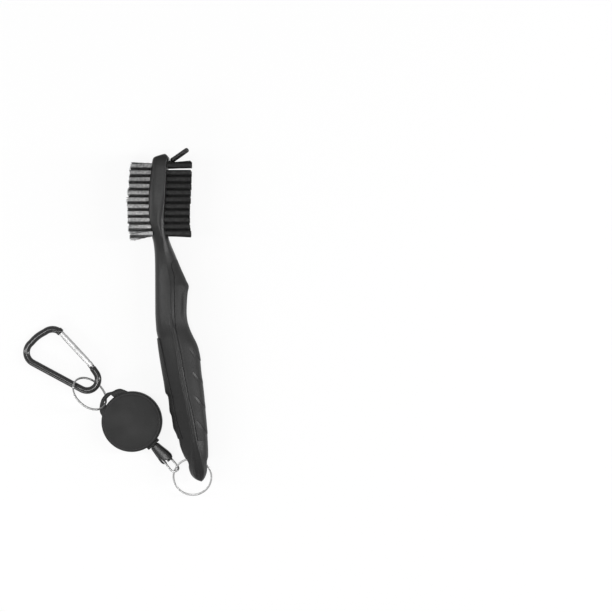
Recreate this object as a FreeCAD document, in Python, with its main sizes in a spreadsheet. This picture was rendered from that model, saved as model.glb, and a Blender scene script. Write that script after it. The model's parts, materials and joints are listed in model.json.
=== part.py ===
import FreeCAD, Part
import math
import os
import Sketcher
from FreeCAD import Placement, Rotation, Vector

# Golf club groove brush with a pull-out reel and a carabiner, lying on its side.
# +Y runs along the brush towards its head, +X points from the wire bristles to the
# nylon bristles, +Z is up. Millimetres throughout.

doc = FreeCAD.newDocument("GrooveBrush")
sheet = doc.addObject("Spreadsheet::Sheet", "sizes")

headSizes = {
    "mid_height": 11.0,          # height of the brush's centre plane above the rest surface
    "neck_rise": 3.1,            # from the neck up to the head's foot
    "head_foot": "=neck_along + neck_rise",
    "head_length": 46.3,         # from the head's foot to its two top corners
    "head_lap": 5.3,             # how far the handle's root reaches into the head
    "head_crown": 2.2,           # rise of the rounded top edge
    "head_wire_foot": 21.1,      # wire face at the foot
    "head_wire_top": 22.2,       # wire face at the top
    "head_nylon_foot": 29.0,
    "head_nylon_top": 30.5,
    "wire_bow": 3.0,             # how far the wire face bulges
    "nylon_bow": 1.2,            # how far the nylon face is hollowed
    "head_width": 22.0,
    "head_corner": 6.0,
    "tuft_rows": 11,
    "tuft_columns": 5,
    "top_inset": 4.3,            # from the head's top corners to the first row
    "foot_inset": 3.0,           # from the last row to the head's foot
    "side_inset": 3.2,           # from the head's flat sides to the outer columns
    "row_pitch": "=(head_length - top_inset - foot_inset) / (tuft_rows - 1)",
    "column_pitch": "=(head_width - 2 * side_inset) / (tuft_columns - 1)",
    "tuft_hole": 2.6,            # diameter of a drilled tuft hole
    "tuft_hole_depth": 3.4,
    "tuft_fit": 0.04,            # radial clearance of a tuft in its hole
    "tuft_gap": 0.4,             # between the spread free ends of two tufts
    "tuft_tip": "=min(row_pitch; column_pitch) - tuft_gap",
    "tuft_flare": 0.2,           # straight part above the face
    "wire_reach": 11.3,          # free length of the wire tufts
    "nylon_reach": 13.7,
    "anchor_thick": 0.35,
    "anchor_height": 1.1,
    "anchor_play": 0.05,
    "cut_margin": 0.5,           # how far a cutting tool runs past the face that it cuts
}
spikeSizes = {
    "spike_rise": 0.2,           # from the head's top corner out to the end of the boss
    "spike_drop": 0.8,
    "spike_x": "=head_nylon_top + spike_rise",
    "spike_y": "=head_foot + head_length - spike_drop",
    "spike_angle": 35.0,
    "spike_root": 1.9,
    "spike_diameter": 1.6,
    "spike_length": 11.0,
    "spike_point": 3.0,
    "spike_tip": 0.12,           # radius of the blunted point
    "boss_diameter": 3.4,
    "boss_back": 2.4,
    "cap_gap": 1.3,              # bare spike between the boss and the cap
    "cap_length": 12.2,
    "cap_diameter": 3.1,
    "cap_fit": 0.05,
    "cap_room": 0.4,             # ahead of the point, inside the cap
    "cap_chamfer": 0.6,
}
# along the brush, wire edge, nylon edge, half width
stations = {
    "root": ("=head_foot + head_lap", 20.3, 28.6, 6.4),
    "neck": (44.6, 21.8, 31.0, 5.6),
    "shoulder": (34.0, 22.3, 35.4, 7.4),
    "thumb_top": (19.5, 22.4, 41.0, 9.6),
    "thumb_dip": (9.0, 22.4, 40.3, 10.2),
    "thumb_end": (-1.5, 22.8, 41.2, 10.6),
    "heel": (-15.7, 23.8, 47.4, 11.0),
    "palm": (-29.6, 26.4, 49.2, 11.0),
    "waist": (-43.5, 29.4, 50.9, 10.8),
    "lower": (-56.0, 32.0, 51.8, 10.2),
    "tail": (-69.0, 35.8, 52.3, 9.2),
    "eye": (-80.6, 40.2, 52.3, 7.6),
    "tip": (-88.6, 43.6, 51.2, 5.4),
    "end": (-92.8, 46.8, 49.8, 2.4),
}
# share of the handle's width, from its wire edge, at which the nylon-side grip starts
seams = {"thumb_end": 0.63, "heel": 0.55, "waist": 0.586, "lower": 0.677, "tail": 0.69}
gripSizes = {
    "grip_start": 36.0,          # nylon-side grip, along the brush
    "grip_stop": -69.0,
    "rib_pitch": 13.9,
    "rib_first": -22.6,
    "rib_width": 1.6,
    "rib_depth": 1.3,
    "rib_slant": 52.0,
    "rib_count": 4,
    "rib_reach": 8.0,            # length of the bar that cuts a rib
    "grip_drop": 8.0,            # from the shoulder down to the grip's upper corner
    "grip_edge": 1.2,
    "grip_run": 3.0,
    "wire_grip_start": -9.9,
    "wire_grip_stop": -68.4,
    "wire_grip_depth": 2.3,
    "scallop_radius": 9.5,
    "scallop_depth": 0.9,
    "scallop_turn": 25.0,
}
chainSizes = {
    "eye_along": -81.8,          # hole through the tip of the handle
    "eye_diameter": 5.8,
    "ring_diameter": 23.2,       # both split rings, outside
    "ring_wire": 1.2,
    "ring_x": 44.0,
    "ring_play": 1.4,            # between the ring's wire and the far wall of the hole
    "ring_reach": "=ring_diameter / 2 - ring_wire - ring_play",
    "ring_tilt": 14.0,
    "hook_angle": 155.0,         # where the link hangs on the ring
    "link_wire": 1.2,
    "link_width": 5.9,           # outside
    "link_roll": 42.0,
    "link_play": 0.3,
    "link_plan": 9.29935,     # seen from above, from the pin to the ring's hook point
    "link_angle": -47.63432,
    "pin_diameter": 1.4,
    "pin_length": 5.4,
}
reelSizes = {
    "case_diameter": 35.2,
    "case_wall": 1.3,
    "case_height": 7.4,          # up to the joint with the front cover
    "dome_rise": 1.5,
    "case_round": 0.8,
    "bevel": 1.2,
    "lip_depth": 0.9,
    "shell_fit": 0.04,
    "post_diameter": 4.4,
    "post_top": "=case_height",
    "screw_diameter": 1.6,
    "screw_head": 3.4,
    "screw_head_height": 0.7,
    "screw_depth": 0.9,          # height of the screw's lower end
    "spool_fit": 0.05,
    "spool_bottom": 1.8,
    "spool_gap": 0.8,
    "spool_diameter": "=case_diameter - 2 * case_wall - 2 * spool_gap",
    "flange": 0.7,
    "channel": 3.3,
    "drum_diameter": 21.0,
    "drum_wall": 1.0,
    "spool_boss": 6.2,
    "spool_boss_height": 0.5,
    "cord_diameter": 0.9,
    "cord_length": 600.0,
    "cord_play": 0.15,
    "winding_fill": 0.5934,      # share of the winding's section that is cord
    "winding_gap": 0.05,
    "lead_gap": 0.6,             # from the winding to the start of the straight cord
    "spring_strip": 0.28,
    "spring_width": 2.4,
    "spring_turns": 5.0,
    "spring_tail": 1.3,
    "spring_gap": 0.3,
    "spring_lift": 0.25,
    "spring_start": 0.02,
    "exit_angle": -47.0,
    "exit_height": 4.2,
    "mouth_width": 8.0,
    "mouth_reach": 1.1,
    "mouth_height": 5.6,
    "bush_diameter": 3.4,
    "bush_bore": 1.5,
    "bush_flange": 4.4,
    "bush_flange_thick": 0.4,
    "bail_angle": 133.0,
    "bail_spread": 46.0,
    "bail_reach": 4.3,
    "bail_radius": "=case_diameter / 2 + bail_reach",
    "bail_wall": 1.9,
    "bail_height": 5.3,
    "bail_thick": 2.2,
    "connector_gap": 0.4,
    "connector_length": 11.8,
    "connector_back": 5.2,
    "connector_front": 6.6,
    "connector_height": 6.2,
    "connector_round": 2.0,
    "connector_taper": 1.0,
    "eye_setback": 3.2,
    "slot_width": 2.0,
    "slot_back": 3.5,
    "crimp_diameter": 2.2,
    "crimp_length": 2.4,
    "crimp_depth": 1.6,
}
clipSizes = {
    "clip_ring_in": 4.933,       # how far the small ring's wire lies inside the bail
    "clip_ring_side": 6.587,     # the ring's centre beside the bail's middle
    "clip_ring_z": 9.27,
    "clip_ring_turn": -43.9,
    "clip_ring_tilt": 52.4,
    "clip_hang": 3.248,          # how far the ring's wire lies inside the narrow bend's centre
    "clip_hang_angle": 103.755,
    "clip_height": 0.4,          # under the wide end
    "clip_turn": -28.0,
    "clip_lift": 2.1,            # the narrow end rides up on the ring
    "clip_rod": 4.0,
    "clip_wide": 7.0,
    "clip_narrow": 6.5,
    "clip_span": 32.5,
    "clip_drop": 0.1,
    "clip_nose_x": 4.2,
    "clip_nose_y": 9.5,
    "nose_angle": 73.0,
    "hinge_angle": 63.0,
    "hinge_run": 6.6,
    "gate_rod": 3.4,
    "gate_slot": 1.9,
    "tongue_thick": 1.5,
    "tongue_length": 3.2,
    "tongue_width": 3.2,
    "tongue_past": 1.2,
    "nose_tongue": 2.2,
    "nose_width": 1.9,
    "rivet_diameter": 1.2,
    "rivet_fit": 0.04,
    "gate_gap": 0.3,
    "gate_back": 1.7,            # from the rivet to the gate's hinge end
    "hinge_slot": 2.8,
    "nose_slot": 2.8,
    "rivet_proud": 0.05,
    "bore_start": 2.7,
    "gate_bore": 1.7,
    "gate_bore_depth": 10.0,
    "plunger_length": 3.0,
    "plunger_fit": 0.05,
    "gate_wire": 0.3,
    "gate_pitch": 0.75,
    "coil_fit": 0.1,
}
sizes = {}
for group in (headSizes, spikeSizes, gripSizes, chainSizes, reelSizes, clipSizes):
    sizes.update(group)
for station, (reach, wire, nylon, half) in stations.items():
    sizes[station + "_along"] = reach
    sizes[station + "_wire"] = wire
    sizes[station + "_nylon"] = nylon
    sizes[station + "_half"] = half
for station, share in seams.items():
    sizes[station + "_seam"] = share
for row, alias in enumerate(sizes, start=1):
    sheet.set(f"A{row}", alias)
    sheet.setAlias(f"B{row}", alias)
for row, content in enumerate(sizes.values(), start=1):
    sheet.set(f"B{row}", str(content))
doc.recompute()


def size(alias):
    return float(sheet.get(alias))


def bind(item, prop, expression):
    """Tie one property to the sheet; @name stands for the cell with that alias."""
    item.setExpression(prop, expression.replace("@", "sizes."))


def value(expression):
    """The number that a sheet expression gives now; angles are in degrees."""
    return float(sheet.evalExpression(expression.replace("@", "sizes.")))


def polar(radius, degrees, height=0.0):
    angle = math.radians(degrees)
    return Vector(radius * math.cos(angle), radius * math.sin(angle), height)


def make(kind, name, **bindings):
    """A document object whose properties are tied to the sheet."""
    item = doc.addObject(kind, name)
    for prop, expression in bindings.items():
        bind(item, prop, expression)
    return item


def place(item, base=Vector(), rotation=Rotation()):
    item.Placement = Placement(base, rotation)
    return item


def along(direction):
    """The turn that points a shape's own Z along a direction."""
    return Rotation(Vector(0, 0, 1), direction)


def solid(name, shape):
    item = doc.addObject("Part::Feature", name)
    item.Shape = shape
    return item


def fuse(name, *pieces):
    item = doc.addObject("Part::MultiFuse", name)
    item.Shapes = list(pieces)
    item.Refine = True
    return item


def cut(name, base, tool):
    item = doc.addObject("Part::Cut", name)
    item.Base = base
    item.Tool = tool
    return item


def common(name, first, second):
    item = doc.addObject("Part::MultiCommon", name)
    item.Shapes = [first, second]
    return item


def sketch(body, plane, points):
    """A closed outline; a third entry bows the edge that leaves a point by that much."""
    drawing = body.newObject("Sketcher::SketchObject", body.Name + "_outline")
    for feature in body.Origin.OriginFeatures:
        if feature.Role == plane:
            drawing.AttachmentSupport = [(feature, "")]
    drawing.MapMode = "FlatFace"
    spots = [Vector(value(point[0]), value(point[1]), 0) for point in points]
    starts = []
    for number, point in enumerate(points):
        here, there = spots[number], spots[(number + 1) % len(spots)]
        if len(point) == 2:
            drawing.addGeometry(Part.LineSegment(here, there), False)
            starts.append((number, 1, 2))
            continue
        chord = there - here
        side = Vector(chord.y, -chord.x, 0).normalize()
        middle = (here + there) * 0.5 + side * value(point[2])
        drawing.addGeometry(Part.Arc(here, middle, there), False)
        forward = drawing.getPoint(number, 1).distanceToPoint(here) < 1e-6
        starts.append((number, 1, 2) if forward else (number, 2, 1))
    for number, point in enumerate(points):
        edge, first, last = starts[number]
        following = starts[(number + 1) % len(points)]
        drawing.addConstraint(Sketcher.Constraint("Coincident", edge, last, following[0], following[1]))
        for kind, expression, spot in (("DistanceX", point[0], spots[number].x),
                                       ("DistanceY", point[1], spots[number].y)):
            made = drawing.addConstraint(Sketcher.Constraint(kind, -1, 1, edge, first, spot))
            bind(drawing, f"Constraints[{made}]", expression)
        if len(point) == 3:
            after = points[(number + 1) % len(points)]
            chord = f"(({after[0]}) - ({point[0]}))^2 + (({after[1]}) - ({point[1]}))^2"
            rule = f"(({chord}) / 4 + ({point[2]})^2) / (2 * abs({point[2]}))"
            made = drawing.addConstraint(Sketcher.Constraint("Radius", edge, value(rule)))
            bind(drawing, f"Constraints[{made}]", rule)
    doc.recompute()
    return drawing


def padded(name, plane, points, length):
    """An outline padded both ways from its plane."""
    body = doc.addObject("PartDesign::Body", name)
    pad = body.newObject("PartDesign::Pad", name + "_pad")
    pad.Profile = sketch(body, plane, points)
    pad.SideType = "Symmetric"
    bind(pad, "Length", length)
    doc.recompute()
    return body


def turned(name, points):
    """A body of revolution about Z; each point is (radius, height)."""
    body = doc.addObject("PartDesign::Body", name)
    profile = sketch(body, "XZ_Plane", points)
    spin = body.newObject("PartDesign::Revolution", name + "_turned")
    spin.Profile = profile
    spin.ReferenceAxis = (profile, ["V_Axis"])
    spin.Angle = 360
    doc.recompute()
    return body


def rod(name, diameter, length, base=Vector(), direction=Vector(0, 0, 1)):
    item = make("Part::Cylinder", name, Radius=f"({diameter}) / 2", Height=length)
    return place(item, base, along(direction))


nodes = []


def node(item, label):
    item.Label = label
    nodes.append(item)
    return item


# ---------------------------------------------------------------- brush head

pointsPerTurn = 16       # points of a smooth curve through one turn
midHeight = size("mid_height")
crownMiddle = Vector(0, 0, midHeight)
toolFoot = midHeight - size("head_width")


def faceAt(side, height):
    """Where the bowed wire or nylon face lies at a height along the brush."""
    foot, top = size("head_foot"), value("@head_foot + @head_length")
    low, high = size(f"head_{side}_foot"), size(f"head_{side}_top")
    bow = size(f"{side}_bow")
    chord = math.hypot(top - foot, high - low)
    radius = (chord * chord / 4 + bow * bow) / (2 * bow)
    offset = height - (foot + top) / 2
    share = (height - foot) / (top - foot)
    return low + (high - low) * share - (math.sqrt(radius ** 2 - offset ** 2) - (radius - bow))


def head():
    """Bowed side outline crossed with a round-cornered front outline."""
    side = padded("head_side", "XY_Plane", [
        ("@head_wire_foot", "@head_foot"),
        ("@head_nylon_foot", "@head_foot", "-@nylon_bow"),
        ("@head_nylon_top", "@head_foot + @head_length", "@head_crown"),
        ("@head_wire_top", "@head_foot + @head_length", "@wire_bow"),
    ], "@head_width")
    place(side, crownMiddle)
    half, corner = "@head_width / 2", "@head_corner"
    low, high = "@head_foot", "@head_foot + @head_length + @head_crown"
    bow = f"({corner}) * (1 - sqrt(0.5))"
    front = padded("head_front", "YZ_Plane", [
        (f"{low} + {corner}", f"-{half}"),
        (f"{high} - {corner}", f"-{half}", bow),
        (high, f"-{half} + {corner}"),
        (high, f"{half} - {corner}", bow),
        (f"{high} - {corner}", half),
        (f"{low} + {corner}", half, bow),
        (low, f"{half} - {corner}"),
        (low, f"-{half} + {corner}", bow),
    ], "@head_nylon_top * 4")
    place(front, crownMiddle)
    return common("head_blank", side, front)


def tuftSeats(side):
    """Face point and outward direction of each tuft on one side of the head."""
    outward = Vector(-1, 0, 0) if side == "wire" else Vector(1, 0, 0)
    columns = int(size("tuft_columns"))
    for row in range(int(size("tuft_rows"))):
        height = value("@head_foot + @head_length - @top_inset") - row * size("row_pitch")
        for column in range(columns):
            across = (column - (columns - 1) / 2) * size("column_pitch")
            yield row, column, Vector(faceAt(side, height), height, midHeight + across), outward


def sectionWire(station):
    """Closed smooth section of the handle, square to the brush."""
    wire, nylon = size(station + "_wire"), size(station + "_nylon")
    centre, thick, half = (wire + nylon) / 2, (nylon - wire) / 2, size(station + "_half")
    points = []
    for step in range(pointsPerTurn):
        angle = 2 * math.pi * step / pointsPerTurn
        points.append(Vector(centre + thick * math.cos(angle), size(station + "_along"),
                             midHeight + half * math.sin(angle)))
    curve = Part.BSplineCurve()
    curve.interpolate(points, PeriodicFlag=True)
    return Part.Wire([curve.toShape()])


def handleForm(name):
    """The whole grip, lofted through its stations."""
    return solid(name, Part.makeLoft([sectionWire(station) for station in stations], True, False))


def gripZones():
    """Side-view regions that the two soft grips take from the handle."""
    outer = "@heel_nylon + @head_width / 2"
    seam = [(f"@{name}_wire + (@{name}_nylon - @{name}_wire) * @{name}_seam", f"@{name}_along")
            for name in seams if name != "tail"]
    nylon = padded("nylon_zone", "XY_Plane", [
        ("@neck_nylon - @grip_edge", "@grip_start"),
        ("@neck_nylon + @grip_run", "@shoulder_along - @grip_drop"),
        *seam,
        ("@tail_wire + (@tail_nylon - @tail_wire) * @tail_seam", "@grip_stop"),
        (outer, "@grip_stop"),
        (outer, "@grip_start"),
    ], "@head_width * 2")
    inner = "@heel_wire - @head_width / 2"
    depth = "@wire_grip_depth"
    wire = padded("wire_zone", "XY_Plane", [
        (inner, "@wire_grip_start"),
        (inner, "@wire_grip_stop"),
        (f"@tail_wire + {depth}", "@wire_grip_stop"),
        *[(f"@{name}_wire + {depth}", f"@{name}_along") for name in ("lower", "waist", "palm", "heel")],
        (f"@heel_wire + {depth}", "@wire_grip_start"),
    ], "@head_width * 2")
    return place(nylon, crownMiddle), place(wire, crownMiddle)


def edgeAt(edge, height):
    """Handle edge at a height along the brush, straight between its stations."""
    names = list(stations)
    for upper, lower in zip(names, names[1:]):
        top, bottom = size(upper + "_along"), size(lower + "_along")
        if bottom <= height <= top:
            share = (height - bottom) / (top - bottom)
            return size(f"{lower}_{edge}") + share * (size(f"{upper}_{edge}") - size(f"{lower}_{edge}"))
    return size(f"end_{edge}")


def ribTools():
    """Slanted bars that cut the ribs into the nylon-side grip's back."""
    bars = []
    for count in range(int(size("rib_count"))):
        height = size("rib_first") - count * size("rib_pitch")
        bar = make("Part::Box", f"rib_bar_{count}", Length="@rib_reach", Width="@rib_width",
                   Height="@head_width * 2")
        turn = Rotation(Vector(0, 0, 1), -size("rib_slant"))
        corner = Vector(edgeAt("nylon", height) - size("rib_depth"), height, toolFoot)
        bars.append(place(bar, corner - turn.multVec(Vector(0, size("rib_width") / 2, 0)), turn))
    return fuse("rib_bars", *bars)


def scallopTools():
    """Round cutters for the finger scallops of the wire-side grip."""
    rounds = []
    for upper, lower in (("palm", "waist"), ("waist", "lower"), ("lower", "tail")):
        height = (size(upper + "_along") + size(lower + "_along")) / 2
        edge = edgeAt("wire", height)
        name = f"scallop_{upper}"
        item = make("Part::Cylinder", name, Radius="@scallop_radius", Height="@head_width * 2")
        reach = size("scallop_radius") - size("scallop_depth")
        rounds.append(place(item, Vector(edge, height, toolFoot) - polar(reach, size("scallop_turn"))))
    return fuse("scallops", *rounds)


spikeOut = polar(1.0, size("spike_angle"))
spikeFoot = Vector(size("spike_x"), size("spike_y"), midHeight)
eyeCentre = Vector((size("eye_wire") + size("eye_nylon")) / 2, size("eye_along"), midHeight)


def brushPieces():
    blank = head()
    drills = []
    fit = size("tuft_hole") / 2
    for side in ("wire", "nylon"):
        for row, column, face, outward in tuftSeats(side):
            depth = size("tuft_hole_depth")
            drills.append(Part.makeCylinder(fit, depth * 2, face - outward * depth, outward))
    tuftHoles = solid("tuft_holes", Part.makeCompound(drills))
    boss = rod("spike_boss", "@boss_diameter", "@boss_back", spikeFoot - spikeOut * size("boss_back"), spikeOut)
    form = handleForm("handle_form")
    nylonZone, wireZone = gripZones()
    zones = fuse("grip_zones", nylonZone, wireZone)
    middle = cut("handle_middle", form, zones)
    whole = fuse("core_blank", blank, middle, boss)
    root = rod("spike_hole", "@spike_diameter", "@spike_root + @cut_margin",
               spikeFoot - spikeOut * size("spike_root"), spikeOut)
    across = Vector(1, 0, 0)
    eye = rod("eye_drill", "@eye_diameter", "@head_width * 2", eyeCentre - across * size("head_width"), across)
    drilled = cut("core_drilled", whole, tuftHoles)
    seated = cut("core_seated", drilled, root)
    node(cut("core_with_eye", seated, eye), "handle_core")
    nylonGrip = common("nylon_grip_blank", handleForm("nylon_grip_form"), nylonZone)
    node(cut("nylon_grip_ribbed", nylonGrip, ribTools()), "thumb_grip")
    wireGrip = common("wire_grip_blank", handleForm("wire_grip_form"), wireZone)
    node(cut("wire_grip_scalloped", wireGrip, scallopTools()), "finger_grip")


def tuftForm(reach):
    """One tuft standing along Z: a straight root and a free end that spreads."""
    root = size("tuft_hole") / 2 - size("tuft_fit")
    bottom = size("anchor_height") - size("tuft_hole_depth")
    outline = [Vector(0, 0, bottom), Vector(root, 0, bottom), Vector(root, 0, size("tuft_flare")),
               Vector(size("tuft_tip") / 2, 0, reach), Vector(0, 0, reach)]
    face = Part.Face(Part.makePolygon(outline + outline[:1]))
    return face.revolve(Vector(), Vector(0, 0, 1), 360)


def tuftPieces(side):
    """Tufts and their anchors; the four corner tufts are a node of their own."""
    lastRow, lastColumn = int(size("tuft_rows")) - 1, int(size("tuft_columns")) - 1
    form = tuftForm(size(side + "_reach"))
    wide = value("@tuft_hole - 2 * @anchor_play")
    plate = Part.makeBox(size("anchor_thick"), wide, size("anchor_height"),
                         Vector(-size("anchor_thick") / 2, -wide / 2, 0))
    inner, corner, anchors = [], [], []
    for row, column, face, outward in tuftSeats(side):
        standing = Placement(face, along(outward))
        tuft = form.copy()
        tuft.Placement = standing
        isCorner = row in (0, lastRow) and column in (0, lastColumn)
        (corner if isCorner else inner).append(tuft)
        anchor = plate.copy()
        bottom = face - outward * size("tuft_hole_depth")
        anchor.Placement = Placement(bottom, along(outward))
        anchors.append(anchor)
    node(solid(side + "_tuft_set", Part.makeCompound(inner)), side + "_tufts")
    node(solid(side + "_corner_set", Part.makeCompound(corner)), side + "_corner_tufts")
    node(solid(side + "_anchor_set", Part.makeCompound(anchors)), side + "_tuft_anchors")


def spikePieces():
    spike = turned("spike_body", [
        ("0", "-@spike_root"),
        ("@spike_diameter / 2", "-@spike_root"),
        ("@spike_diameter / 2", "@spike_length - @spike_point"),
        ("@spike_tip", "@spike_length"),
        ("0", "@spike_length"),
    ])
    node(place(spike, spikeFoot, along(spikeOut)), "groove_spike")
    outer, bore = "@cap_diameter / 2", "@spike_diameter / 2 + @cap_fit"
    end = "@cap_gap + @cap_length"
    cap = turned("cap_body", [
        (bore, "@cap_gap"),
        (f"{outer} - @cap_chamfer", "@cap_gap"),
        (outer, "@cap_gap + @cap_chamfer"),
        (outer, f"{end} - {outer}", f"{outer} * (1 - sqrt(0.5))"),
        ("0", end),
        ("0", "@spike_length + @cap_room"),
        (bore, "@spike_length - @spike_point * 0.5"),
    ])
    node(place(cap, spikeFoot, along(spikeOut)), "spike_cap")


# ------------------------------------------------------- ring, link, connector

ringTilt = math.radians(size("ring_tilt"))
ringDown = Vector(0, -math.cos(ringTilt), -math.sin(ringTilt))
ringNormal = Vector(0, -math.sin(ringTilt), math.cos(ringTilt))
ringRadius = (size("ring_diameter") - size("ring_wire")) / 2
ringCentre = Vector(size("ring_x"), eyeCentre.y, midHeight) + ringDown * size("ring_reach")
hookTurn = math.radians(size("hook_angle"))
hook = ringCentre + Vector(1, 0, 0) * (ringRadius * math.cos(hookTurn)) - ringDown * (ringRadius * math.sin(hookTurn))
hookTangent = Vector(-1, 0, 0) * math.sin(hookTurn) - ringDown * math.cos(hookTurn)

exitOut = polar(1.0, size("exit_angle"))
connectorStart = value("@case_diameter / 2 + @mouth_reach + @bush_flange_thick + @connector_gap")
eyeReach = value("@connector_length - @eye_setback") + connectorStart
pinCentre = Vector(hook.x, hook.y, size("exit_height")) - polar(size("link_plan"), size("link_angle"))
exitLine = pinCentre - exitOut * eyeReach
reelCentre = exitLine - Vector(0, 0, size("exit_height"))

linkOut = (hook - pinCentre).normalize()
squareNormal = (hookTangent - linkOut * hookTangent.dot(linkOut)).normalize()
linkNormal = Rotation(linkOut, size("link_roll")).multVec(squareNormal)
linkAcross = linkNormal.cross(linkOut)


def splitRing(name, centre, normal):
    """A closed split ring as one torus."""
    ring = make("Part::Torus", name, Radius1="(@ring_diameter - @ring_wire) / 2", Radius2="@ring_wire / 2")
    return place(ring, centre, along(normal))


def linkPiece():
    """Oval wire link round the connector's pin and the handle's ring."""
    wire, play = size("link_wire"), size("link_play")
    inside = (hook - pinCentre).Length + size("pin_diameter") / 2 + size("ring_wire") / 2 + 2 * play
    bend = (size("link_width") - wire) / 2
    straight = inside + wire - 2 * bend
    first = pinCentre - linkOut * (size("pin_diameter") / 2 + play + wire / 2 - bend)
    frame = Placement(FreeCAD.Matrix(
        linkOut.x, linkAcross.x, linkNormal.x, first.x,
        linkOut.y, linkAcross.y, linkNormal.y, first.y,
        linkOut.z, linkAcross.z, linkNormal.z, first.z, 0, 0, 0, 1))
    pieces = []
    for name, shift, turn in (("near", 0, 90), ("far", straight, -90)):
        bow = make("Part::Torus", f"link_{name}_bow", Radius1="(@link_width - @link_wire) / 2",
                   Radius2="@link_wire / 2")
        bow.Angle3 = 180
        local = Placement(Vector(shift, 0, 0), Rotation(Vector(0, 0, 1), turn))
        bow.Placement = frame.multiply(local)
        pieces.append(bow)
    for name, side in (("upper", 1), ("lower", -1)):
        bar = make("Part::Cylinder", f"link_{name}_bar", Radius="@link_wire / 2")
        bar.Height = straight
        local = Placement(Vector(0, side * bend, 0), Rotation(Vector(0, 0, 1), Vector(1, 0, 0)))
        bar.Placement = frame.multiply(local)
        pieces.append(bar)
    return fuse("link_whole", *pieces)


# the drum and the turns of cord that fill its channel to this radius
windingRadius = ("sqrt((@drum_diameter / 2)^2 + @cord_length * @cord_diameter^2 / 4"
                 " / ((@channel - 2 * @winding_gap) * @winding_fill))")


def connectorPieces():
    """Plastic cord end: a tapered flat body, slotted for the link and crossed by a pin."""
    turn = Rotation(Vector(0, 0, 1), size("exit_angle"))
    start = exitLine + exitOut * connectorStart
    back, front, long = "@connector_back / 2", "@connector_front / 2", "@connector_length"
    rounding, taper = "@connector_round", "@connector_taper"
    bow = f"{rounding} * (1 - sqrt(0.5))"
    body = padded("connector_body", "XY_Plane", [
        ("0", f"-{back} + {taper}"),
        (taper, f"-{back}"),
        (f"{long} - {rounding}", f"-{front}", bow),
        (long, f"-{front} + {rounding}"),
        (long, f"{front} - {rounding}", bow),
        (f"{long} - {rounding}", front),
        (taper, back),
        ("0", f"{back} - {taper}"),
    ], "@connector_height")
    place(body, start, turn)
    reach = size("slot_back")
    slot = make("Part::Box", "connector_slot", Length="@slot_back + @connector_length", Width="@connector_height * 4",
                Height="@slot_width")
    slotFrame = Placement(FreeCAD.Matrix(
        linkOut.x, linkAcross.x, linkNormal.x, 0,
        linkOut.y, linkAcross.y, linkNormal.y, 0,
        linkOut.z, linkAcross.z, linkNormal.z, 0, 0, 0, 0, 1)).Rotation
    corner = slotFrame.multVec(Vector(-reach, -2 * size("connector_height"), -size("slot_width") / 2))
    place(slot, pinCentre + corner, slotFrame)
    pinHalf = size("pin_length") / 2
    hole = rod("pin_hole", "@pin_diameter", "@connector_length",
               pinCentre - linkNormal * (size("connector_length") / 2), linkNormal)
    crimpBack = connectorStart + size("crimp_depth")
    cordHole = rod("cord_hole", "@cord_diameter + 2 * @cord_play", "@crimp_depth + 2 * @cut_margin",
                   exitLine + exitOut * (connectorStart - size("cut_margin")), exitOut)
    crimpHole = rod("crimp_hole", "@crimp_diameter", "@crimp_length", exitLine + exitOut * crimpBack, exitOut)
    hollow = fuse("connector_hollows", slot, hole, cordHole, crimpHole)
    node(cut("connector_whole", body, hollow), "cord_connector")
    pin = rod("connector_pin_rod", "@pin_diameter", "@pin_length", pinCentre - linkNormal * pinHalf, linkNormal)
    node(pin, "connector_pin")
    crimp = rod("crimp_rod", "@crimp_diameter", "@crimp_length", exitLine + exitOut * crimpBack, exitOut)
    leadStart = value(f"{windingRadius} + @lead_gap")
    leadLength = crimpBack - leadStart
    lead = rod("cord_rod", "@cord_diameter", str(leadLength), exitLine + exitOut * leadStart, exitOut)
    node(crimp, "cord_crimp")
    node(lead, "cord_lead")


# ------------------------------------------------------------------------ reel

def reelPiece(body):
    return place(body, reelCentre)


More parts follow.
